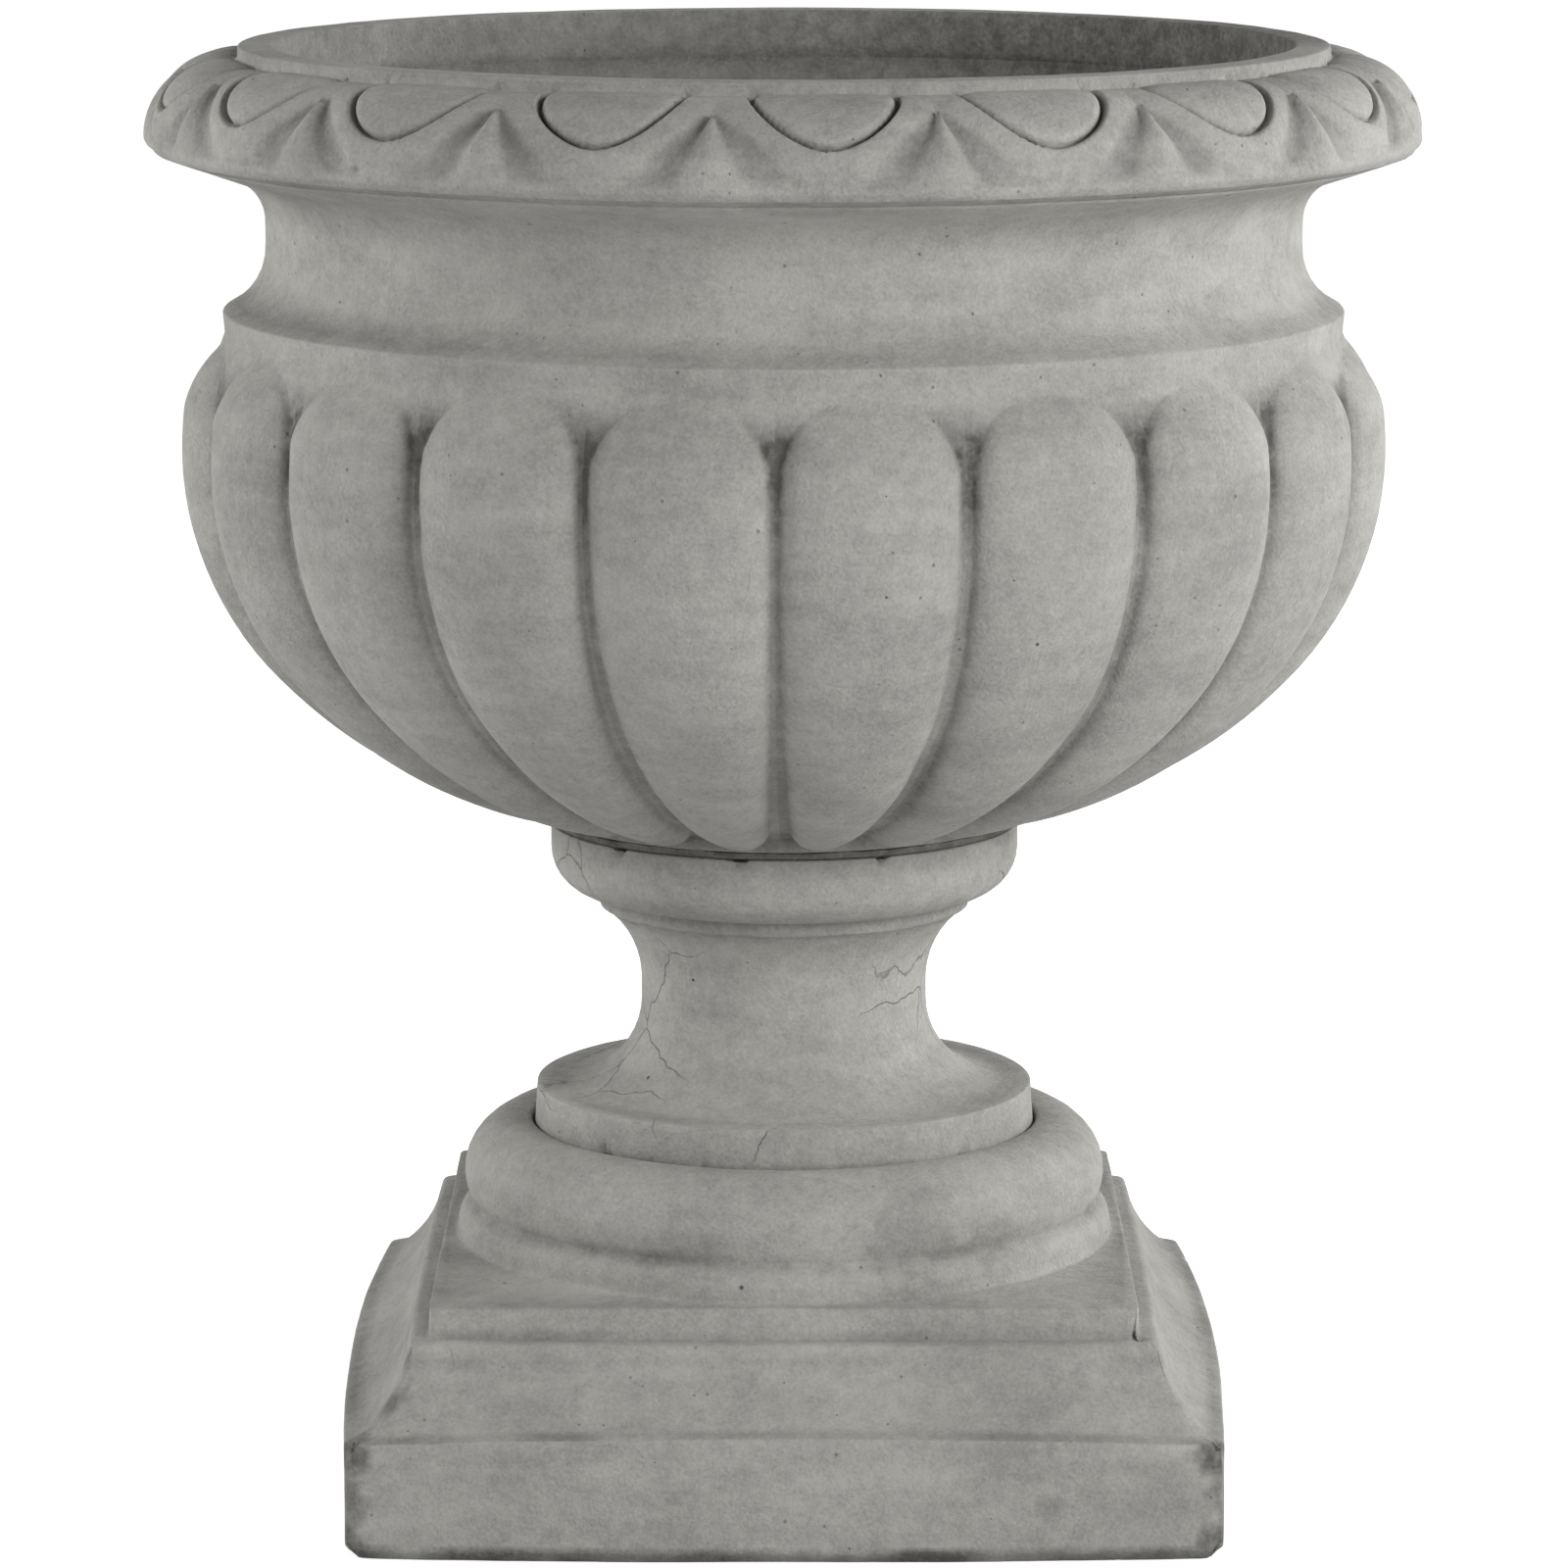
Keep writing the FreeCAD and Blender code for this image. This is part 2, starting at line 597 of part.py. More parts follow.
def nut(low):
    """Hexagon nut with both rims turned off at an angle."""
    corner = nut_across_flats / math.sqrt(3)
    points = [V(corner * math.cos(math.radians(60 * step)),
                corner * math.sin(math.radians(60 * step)), low) for step in range(7)]
    hexagon = Part.Face(Part.makePolygon(points)).extrude(V(0, 0, nut_height))
    turning = Outline(0, low)
    turning.line(corner - nut_chamfer, low)
    turning.line(corner, low + nut_chamfer / 2)
    turning.line(corner, low + nut_height - nut_chamfer / 2)
    turning.line(corner - nut_chamfer, low + nut_height)
    turning.line(0, low + nut_height)
    blank = hexagon.common(turned(turning))
    return blank.cut(cylinder(rod_diameter / 2, low, low + nut_height))


upper_bar_z = floor_z + pad_thickness
upper_washer_z = upper_bar_z + bar_thickness
upper_nut_z = upper_washer_z + washer_thickness
lower_pads_z = hollow_top_z - pad_thickness
lower_bar_z = lower_pads_z - bar_thickness
lower_washer_z = lower_bar_z - washer_thickness
lower_nut_z = lower_washer_z - nut_height

nodes = {
    "plinth": plinth(),
    "foot_mortar_bed": mortar_bed(foot_radius, plinth_seat_z, foot_bed_thickness),
    "pedestal_stem": pedestal_stem(),
    "bowl_mortar_bed": mortar_bed(ring_radius, stem_top_z, bowl_bed_thickness),
    "bowl": bowl(),
    "tie_rod": cylinder(rod_diameter / 2, lower_nut_z - rod_end,
                        upper_nut_z + nut_height + rod_end),
    "bowl_bridge_pads": bridge_pads(floor_z),
    "bowl_bridge_bar": bridge_bar(upper_bar_z),
    "bowl_washer": washer(upper_washer_z),
    "bowl_nut": nut(upper_nut_z),
    "plinth_bridge_pads": bridge_pads(lower_pads_z),
    "plinth_bridge_bar": bridge_bar(lower_bar_z),
    "plinth_washer": washer(lower_washer_z),
    "plinth_nut": nut(lower_nut_z),
}

os.makedirs("parts", exist_ok=True)
for name, shape in nodes.items():
    shape.exportStep("parts/" + name + ".step")
    print(name, "valid" if shape.isValid() else "NOT VALID", len(shape.Solids), "solids",
          len(shape.Faces), "faces", round(shape.Volume / 1000), "cm3")
print("overall height", round(lip_top_z, 2))
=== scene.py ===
from math import radians

import bpy
import numpy as np
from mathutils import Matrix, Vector


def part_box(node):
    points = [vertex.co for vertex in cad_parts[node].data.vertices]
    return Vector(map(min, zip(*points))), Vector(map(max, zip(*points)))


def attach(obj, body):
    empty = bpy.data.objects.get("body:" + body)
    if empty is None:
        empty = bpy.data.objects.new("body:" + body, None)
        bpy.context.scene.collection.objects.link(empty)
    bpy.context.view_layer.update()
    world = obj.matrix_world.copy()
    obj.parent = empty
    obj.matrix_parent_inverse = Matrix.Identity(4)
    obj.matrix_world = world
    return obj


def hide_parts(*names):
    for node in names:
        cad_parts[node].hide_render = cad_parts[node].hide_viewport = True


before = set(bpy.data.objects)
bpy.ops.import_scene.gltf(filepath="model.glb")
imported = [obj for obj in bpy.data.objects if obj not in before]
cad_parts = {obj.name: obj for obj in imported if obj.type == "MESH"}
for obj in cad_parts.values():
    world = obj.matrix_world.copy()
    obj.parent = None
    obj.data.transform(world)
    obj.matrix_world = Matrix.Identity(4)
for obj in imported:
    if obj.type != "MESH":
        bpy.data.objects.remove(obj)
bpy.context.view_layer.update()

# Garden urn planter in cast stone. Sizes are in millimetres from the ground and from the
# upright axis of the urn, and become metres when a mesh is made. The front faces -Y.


# turning and carving helpers

def cloud(points, size, seed):
    # soft random field, -1 to 1: hashed values on a lattice, blended by a quintic step
    cell = points / size
    base = np.floor(cell).astype(np.int64)
    part = cell - base
    part = part ** 3 * (part * (part * 6 - 15) + 10)
    total = np.zeros(points.shape[:-1])
    for corner in range(8):
        step = np.array([corner & 1, corner >> 1 & 1, corner >> 2 & 1])
        spot = base + step
        key = spot[..., 0] * 73856093 ^ spot[..., 1] * 19349663 ^ spot[..., 2] * 83492791
        key = (key + seed * 7919) * 2654435761 % 4294967296
        key = (key ^ key >> 15) * 2246822519 % 4294967296
        key = (key ^ key >> 13) * 3266489917 % 4294967296
        key = key ^ key >> 16
        share = np.where(step, part, 1 - part).prod(axis=-1)
        total += share * (key / 2147483648.0 - 1)
    return total


def ease(low, high, value):
    # 0 at low, 1 at high, a smooth cubic between
    t = np.clip((value - low) / (high - low), 0, 1)
    return t * t * (3 - 2 * t)


def larger(a, b, soft):
    # larger of two fields, rounded over where they are within soft of each other
    t = np.clip(0.5 + (a - b) / (2 * soft), 0, 1)
    return b + (a - b) * t + soft * t * (1 - t)


def arcPoints(start, end, radius):
    # arc that bulges to the right of its run, or to the left with a negative radius
    run = end - start
    length = np.hypot(*run)
    half = np.arcsin(length / 2 / abs(radius))
    side = np.array([run[1], -run[0]]) / length * np.sign(radius)
    centre = (start + end) / 2 - side * abs(radius) * np.cos(half)
    turn = np.linspace(-half, half, max(int(10 * half * abs(radius)), 2) + 1)[:, None]
    return centre + abs(radius) * (np.cos(turn) * side + np.sin(turn) * run / length)


def lengthAlong(points):
    return np.concatenate([[0], np.cumsum(np.hypot(*np.diff(points[:, :2], axis=0).T))])


def readAt(points, marks):
    # columns of a path at lengths along it
    length = lengthAlong(points)
    return np.stack([np.interp(marks, length, column) for column in points.T], 1)


def outline(start, *moves, wear=0.8):
    # Path of (radius, level): a move of two numbers is a line, and a third one is the radius
    # of an arc. It is read every 0.25 mm and blurred over wear, which rounds each arris.
    points = [np.array([start], float)]
    for move in moves:
        last = points[-1][-1]
        end = np.array(move[:2], float)
        if len(move) == 3:
            points.append(arcPoints(last, end, move[2])[1:])
        else:
            share = np.linspace(0, 1, max(int(np.hypot(*(end - last)) * 5), 1) + 1)[1:, None]
            points.append(last + share * (end - last))
    points = np.concatenate(points)
    total = lengthAlong(points)[-1]
    points = readAt(points, np.linspace(0, total, int(total * 4) + 1))
    half = int(16 * wear)
    kernel = np.exp(-0.5 * (np.arange(-half, half + 1) / (4 * wear)) ** 2)
    padded = np.concatenate([2 * points[0] - points[half:0:-1], points,
                             2 * points[-1] - points[-2:-half - 2:-1]])
    return np.stack([np.convolve(column, kernel / kernel.sum(), "valid")
                     for column in padded.T], 1)


def sideways(path):
    # outward unit normals of a path that runs up the outside of a casting
    run = np.gradient(path, axis=0)
    run /= np.hypot(*run.T)[:, None]
    return np.stack([run[:, 1], -run[:, 0]], 1)


def rowMarks(path, widest, narrowest, turn=0.15):
    # lengths along a path, closer together where it bends, so that no row turns by more
    # than turn radians
    length = lengthAlong(path)
    bend = np.hypot(*np.gradient(sideways(path), axis=0).T) / np.gradient(length)
    gap = np.clip(turn / np.maximum(bend, 1e-6), narrowest, widest)
    count = np.concatenate([[0], np.cumsum(np.diff(length) * 2 / (gap[1:] + gap[:-1]))])
    return np.interp(np.linspace(0, count[-1], int(np.ceil(count[-1])) + 1), count, length)


def spun(radius, level, turn):
    # so far from the axis, at a level, turned from the front towards +X in degrees
    angle = np.radians(turn)
    return np.stack(np.broadcast_arrays(radius * np.sin(angle), -radius * np.cos(angle), level),
                    -1)


def turnedGrid(path, marks, turn):
    # points and outward directions of a turned path, one row a mark, one column a turn
    place = readAt(np.column_stack([path, sideways(path)]), marks)
    radius, level, out, up = (column[:, None] for column in place.T)
    return spun(radius, level, turn), spun(out, up, turn)


def handwork(points, depth):
    # uneven skin of a hand-finished casting, never above the true surface
    swell = 0.6 * cloud(points, 70, 3) + 0.3 * cloud(points, 24, 5) + 0.1 * cloud(points, 8, 9)
    return depth * (swell - 1) / 2


def worn(grid, depth):
    points, outward = grid
    return points + handwork(points, depth)[..., None] * outward


def chipped(points, outward, blows):
    # chips and dents, each a place, its reach and its depth, pressed in with ragged edges
    depth = np.zeros(points.shape[:-1])
    rough = 1 + 0.4 * cloud(points, 6, 21) + 0.3 * cloud(points, 2, 22)
    for x, y, z, reach, deep in blows:
        away = np.linalg.norm(points - np.array([x, y, z]), axis=-1) * rough
        depth = np.maximum(depth, deep * (1 - ease(0.3, 1, away / reach)))
    return points - depth[..., None] * outward, depth


def castMesh(name, rings, marks):
    # Closed skin over rings of points, each counter-clockwise from above, up the outside and
    # down the inside. A ring may have a whole number of times fewer points than its neighbour.
    starts = np.cumsum([0] + [len(ring) for ring in rings])
    corners, sizes = [], []
    for here in range(len(rings)):
        there = (here + 1) % len(rings)
        a, b = len(rings[here]), len(rings[there])
        few = np.arange(min(a, b))
        if a >= b:
            face = [starts[here] + (few * (a // b) + m) % a for m in range(a // b + 1)]
            face += [starts[there] + (few + 1) % b, starts[there] + few]
        else:
            face = [starts[here] + few, starts[here] + (few + 1) % a]
            face += [starts[there] + (few * (b // a) + m) % b for m in range(b // a, -1, -1)]
        corners.append(np.stack(face, 1).ravel())
        sizes.append(np.full(len(few), len(face)))
    return meshPiece(name, np.concatenate(rings), np.concatenate(corners),
                     np.concatenate(sizes), marks)


def meshPiece(name, points, corners, sizes, marks):
    # mesh in metres with smooth faces; marks are named numbers, one for each point
    mesh = bpy.data.meshes.new(name)
    mesh.vertices.add(len(points))
    mesh.vertices.foreach_set("co", (points * 0.001).astype(np.float32).ravel())
    mesh.loops.add(len(corners))
    mesh.loops.foreach_set("vertex_index", corners.astype(np.int32))
    mesh.polygons.add(len(sizes))
    starts = np.concatenate([[0], np.cumsum(sizes)[:-1]])
    mesh.polygons.foreach_set("loop_start", starts.astype(np.int32))
    mesh.update(calc_edges=True)
    mesh.polygons.foreach_set("use_smooth", np.ones(len(sizes), bool))
    mesh.validate()
    for mark, values in marks.items():
        layer = mesh.attributes.new(mark, "FLOAT", "POINT")
        layer.data.foreach_set("value", values.astype(np.float32))
    piece = bpy.data.objects.new(name, mesh)
    bpy.context.scene.collection.objects.link(piece)
    triangles = int((sizes - 2).sum())
    print(name, len(points), "points", triangles, "triangles")
    return piece


# bowl: gadrooned body, plain band and neck

bowlBody = {
    "seatRadius": 112.0, "seatLevel": 311.9, "widestRadius": 284.5, "widestLevel": 487.9,
    "sideRadius": 155.0, "turnUnder": 41.4,           # upright curve of the side, its last angle
    "bandRadius": 263.6, "bandLevel": 542.9, "bandHeight": 11.0,
    "neckRadius": 243.4, "neckLevel": 583.6, "neckHeight": 12.0, "neckFoot": 32.0,
    "neckTop": 22.0, "hollowEnd": (258.2, 616.4), "rimSeam": (285.8, 625.9),
    "insideSeam": (237.76, 654.1), "ogeeMiddle": (225.15, 623.75), "ogeeCurve": 52.1,
    "insideRadius": 212.4, "insideLevel": 589.6, "floorLevel": 353.9,
    "floorRadius": 72.4, "bore": 25.0, "spigotRadius": 55.0, "spigotDepth": 14.0,
    "lobes": 20, "lobePhase": 8.2, "lobeDepth": 11.0, "lobeDepthLow": 7.6,
    "noseLevel": 508.0, "noseReach": 33.0,            # where a nose starts, and its length
    "wear": 0.9,
}


def underArc(start, angle, end):
    # radius of the arc that leaves start along the side's last angle and meets end
    last = 2 * np.arctan2(start[0] - end[0], start[1] - end[1]) - angle
    return (start[0] - end[0]) / (np.cos(angle) - np.cos(last))


def gadroonSkin(size, path, marks, turn, start, end, bandFoot):
    # Height of a gadroon = depth * room * (1 - across^2.6 / room)^0.8: across is the way from
    # its middle to its edge, and room falls from 1 to 0 over its nose and its lower end.
    pitch = 360 / size["lobes"]
    even = (turn - size["lobePhase"] + pitch / 2) % pitch - pitch / 2
    crowd = np.sin(even / pitch * 2 * np.pi) * pitch / (2 * np.pi) * 0.66
    s = marks[:, None]
    mix = ease(start - 4, start + 8, s) * ease(bandFoot, bandFoot - 8, s)
    points, outward = turnedGrid(path, marks, turn + crowd * mix)
    lobe = ((turn - size["lobePhase"] + pitch / 2) // pitch).astype(int) % size["lobes"]
    lean, rise, width, blunt, plump = np.random.default_rng(11).uniform(-1, 1, (5, 20))[:, lobe]
    across = even + crowd * mix - 0.2 * lean
    reach = size["noseReach"] + 1.4 * rise + cloud(points, 45, 31)
    past = np.clip((s - end) / reach, 0, 1)
    share = np.clip((s - start) / (end - start), 0, 1)
    half = np.interp(share, [0, 0.12, 0.3, 0.62, 1], [6.5, 7.1, 7.9, 8.45, 8.65])
    half = half * (1 + 0.012 * width) + 0.09 * cloud(points, 16, 33)
    foot = np.clip(1 - (s - start + 3.5 + 1.5 * blunt) / 9, 0, 1)
    room = np.clip(1 - past ** 1.6 - 0.85 * foot ** 2, 1e-4, 1)
    edge = np.abs(across / half) ** 2.6 / room ** 1.06
    deep = size["lobeDepthLow"] + share * (size["lobeDepth"] - size["lobeDepthLow"])
    push = deep * room * np.clip(1 - edge, 0, None) ** 0.8 * (0.98 + 0.02 * plump)
    push = larger(push, 0 * push, 0.8)
    gap = ease(0.78, 1.04, edge) * ease(1.0, 0.55, past)
    # painted shade on the flanks of the lobes
    paintedFlankShade = ease(0.35, 1.1, edge) * ease(1.0, 0.3, past) * (0.8 + 0.5 * cloud(points, 60, 38))
    cusp = ease(end - 45, end + 2, s) * ease(end + 24, end + 8, s)
    pits = np.clip(cloud(points, 4.5, 37), 0, 1) * gap * cusp
    push += handwork(points, size["wear"]) - gap * (0.7 + 0.5 * cloud(points, 6, 35)) - 1.2 * pits
    # dirt and painted shade along the valleys between the lobes, most at the cusps, and dirt in the
    # pits
    soilAndShade = gap * (0.26 + 0.40 * cusp + 0.15 * cloud(points, 30, 39)) + 0.5 * pits
    # more painted shade on the left flank of each lobe
    left = 1 + 0.5 * np.clip(-across / half, -1, 1)
    soilAndShade += 0.2 * paintedFlankShade * (1 + 0.8 * cusp) * left
    return points + push[..., None] * outward, np.clip(soilAndShade, 0, 1)


def bowlBodyPiece(size):
    seat, angle = size["seatRadius"], radians(size["turnUnder"])
    core = size["sideRadius"] - size["lobeDepth"]
    centre = np.array([size["widestRadius"] - size["sideRadius"], size["widestLevel"]])
    turnUnder = centre + core * np.array([np.cos(angle), -np.sin(angle)])
    coreEnd = np.array([seat, size["seatLevel"] + 1 + size["lobeDepthLow"]])
    bandFoot, bandTop = size["bandLevel"], size["bandLevel"] + size["bandHeight"]
    coreTop = centre[0] + np.sqrt(core ** 2 - (bandFoot - centre[1]) ** 2)
    outside = outline((size["spigotRadius"], size["seatLevel"]), (seat, size["seatLevel"]),
                      coreEnd, (*turnUnder, underArc(turnUnder, angle, coreEnd)),
                      (coreTop, bandFoot, core), (size["bandRadius"], bandTop),
                      (size["neckRadius"], size["neckLevel"], -size["neckFoot"]),
                      (size["neckRadius"], size["neckLevel"] + size["neckHeight"]),
                      (*size["hollowEnd"], -size["neckTop"]), size["rimSeam"])
    length = lengthAlong(outside)
    start = length[np.argmin(np.abs(outside - coreEnd).sum(1))]
    end = length[np.argmin(np.abs(outside[:, 1] - size["noseLevel"]))]
    foot = length[np.argmin(np.abs(outside[:, 1] - bandFoot + 0.8))]

    # rows lie closest at the lower ends and the noses of the gadroons
    low = rowMarks(outside[length < start - 3], 8, 1.2, 0.25)
    ends = np.linspace(start - 2, start + 14, 13)
    flank = np.linspace(ends[-1], end - 4, 31)[1:]
    nose = np.linspace(flank[-1], foot, 31)[1:]
    fluted = np.concatenate([ends, flank, nose])
    high = foot + rowMarks(outside[length > foot], 7, 0.8, 0.2)[1:]
    even = size["lobePhase"] + np.arange(960) * 0.375
    lobes, lobeSoilAndShade = gadroonSkin(size, outside, fluted, even, start, end, foot)
    plain = [worn(turnedGrid(outside, marks, even[::2]), size["wear"]) for marks in (low, high)]
    inner = outline(size["insideSeam"], (*size["ogeeMiddle"], -size["ogeeCurve"]),
                    (size["insideRadius"], size["insideLevel"], size["ogeeCurve"]),
                    (size["insideRadius"], size["floorLevel"] + 140),
                    (size["floorRadius"], size["floorLevel"],
                     size["floorRadius"] - size["insideRadius"]),
                    (size["bore"], size["floorLevel"]),
                    (size["bore"], size["seatLevel"] - size["spigotDepth"]),
                    (size["spigotRadius"], size["seatLevel"] - size["spigotDepth"]),
                    (size["spigotRadius"], size["seatLevel"]))
    innerMarks = rowMarks(inner, 14, 1.5, 0.3)[:-1]
    hollow = [worn(turnedGrid(inner, innerMarks[:1], even[::2]), size["wear"]),
              worn(turnedGrid(inner, innerMarks[1:], even[::4]), size["wear"])]
    levels = readAt(outside, high)[:, 1:]
    # dirt lies on the flare over the band, most of it on the front left
    side = 0.5 - 0.5 * np.sin(np.radians(even[None, ::2] + 35))
    highSoil = ease(bandTop - 1, bandTop + 2.5, levels) * ease(bandTop + 16, bandTop + 3, levels)
    highSoil = highSoil * (0.18 + 0.42 * side)
    lowSoil = np.full(plain[0].shape[:2], 0.3)
    rings = [*plain[0], *lobes, *plain[1], *hollow[0], *hollow[1]]
    # the inside carries dirt, and painted shade that makes it darker towards the right
    soilAndShade = [lowSoil, lobeSoilAndShade, highSoil] + [0.44 + 0.42 * ease(-160, 190, part[..., 0])
                                              for part in hollow]
    return castMesh("bowl_body", rings, {"soilAndShade": np.concatenate([part.ravel() for part in soilAndShade])})


bowlBodyMesh = bowlBodyPiece(bowlBody)


# bowl: egg-and-dart rim and lip

bowlRim = {
    "edge": (296.0, 629.4), "widest": (299.4, 634.4), "tuck": 9.0, "curve": 37.5,
    "lipFoot": (255.5, 671.3), "lipTop": 677.9, "lipInside": 237.9, "lipRound": 1.8,
    "lipDepth": 20.0, "eggs": 18, "eggPhase": 3.7,
    "eggHalf": 6.9, "eggLength": 46.0, "eggStraight": 4.0,   # half width in degrees
    "groove": 3.1, "grooveDepth": 4.6, "crown": 1.3,
    "huskApex": 26.0, "huskLength": 60.5, "hollowDepth": 5.2, "dartHalf": 3.0,
    "wear": 0.8,
}


def eggAndDart(size, across, down, radius):
    # Height of the carving over the plain rim. across is in degrees from the middle of an
    # egg, down is the length from the lip. The egg fills (down)^1.9 + (across)^1.8 < 1.
    perDegree = radius * np.pi / 180
    run = size["eggLength"] - size["eggStraight"]
    u = np.clip((down - size["eggStraight"]) / run, 0, 3)
    v = np.abs(across) / size["eggHalf"]
    steep = np.hypot(1.9 * u ** 0.9 / run, 1.8 * v ** 0.8 / (size["eggHalf"] * perDegree))
    outside = np.clip((u ** 1.9 + v ** 1.8 - 1) / np.maximum(steep, 0.004), -30, 60)
    inside = -outside
    groove = size["groove"] * (1 - 0.4 * np.clip(u, 0, 1))
    # egg: a low crown with a rounded shoulder down into the groove
    shoulder = np.clip((3.6 - inside) / 3.6, 0, 1)
    egg = size["crown"] * (1 - (1 - np.clip(inside / 19, 0, 1)) ** 2)
    egg -= 0.85 * size["grooveDepth"] * (1 - np.sqrt(1 - shoulder ** 2)) + 8 * (inside < 0) * outside
    # husk: a band that rolls away from the groove, down into the hollow
    open_ = np.clip(1 - (down - size["huskApex"]) / (size["huskLength"] - size["huskApex"]),
                    1e-3, 1)
    fall = 5.6 / (size["huskLength"] - size["huskApex"]) * open_ ** -0.44 * perDegree
    fall = fall * (down > size["huskApex"])
    pastHusk = (np.abs(across) - 10 * open_ ** 0.56) * perDegree / np.sqrt(1 + fall ** 2)
    pastHusk = np.where(down > size["huskLength"],
                        np.hypot(across * perDegree, down - size["huskLength"]), pastHusk)
    fromCrest = np.clip(outside - groove, 0, None)
    share = fromCrest / np.maximum(fromCrest - pastHusk, 0.5)
    share = np.where(pastHusk > 0, 1, np.clip(share, 0, 1))
    beside = ease(1.5, 7.5, np.abs(across))
    lean = ease(6, 36, down) * (0.25 + 0.57 * beside) * size["hollowDepth"]
    husk = 0.2 - lean * share ** 1.6 - 0.5 * np.clip(pastHusk, 0, None) * (0.3 + 0.7 * beside)
    wall = (outside - groove * 0.4) * 3.0 - size["grooveDepth"]
    husk = -larger(-husk, -wall, 0.5)
    # dart: a rounded tongue with hollow flanks, wider to its foot
    dartHalf = size["dartHalf"] * np.clip((down - 26) / 39.6, 0, 1.2) ** 1.15 + 0.12
    fromRidge = (10 - np.abs(across)) / dartHalf
    dart = 0.3 - size["hollowDepth"] * (1 - np.exp(-0.9 * fromRidge ** 2)) - 4 * (down < 26)
    height = larger(dart, husk, 1.6)
    height = np.where(outside < groove, np.minimum(height, husk), height)
    height = larger(larger(height, egg, 0.3), 0 * egg - size["grooveDepth"], 0.3)
    height -= 0.5 * ease(2.4, 0.6, np.abs(down - 0.9))
    low = ease(58, 70, down)
    height = height * (1 - 0.7 * low)
    # dirt and painted shade in the deepest parts of the grooves, and painted shade in the hollows
    # beside the darts
    deep = ease(0.3, 0.95, -height / size["grooveDepth"])
    dirtAndShade = deep * ease(groove + 1.6, groove * 0.6, outside) * ease(0.6, 3.5, down) * 0.8
    hollow = ease(1.4, 3.8, -height) * (outside > groove) * ease(2, 9, fromCrest) * (1 - low)
    hollow = hollow * beside
    return height, np.maximum(dirtAndShade, 0.42 * hollow)


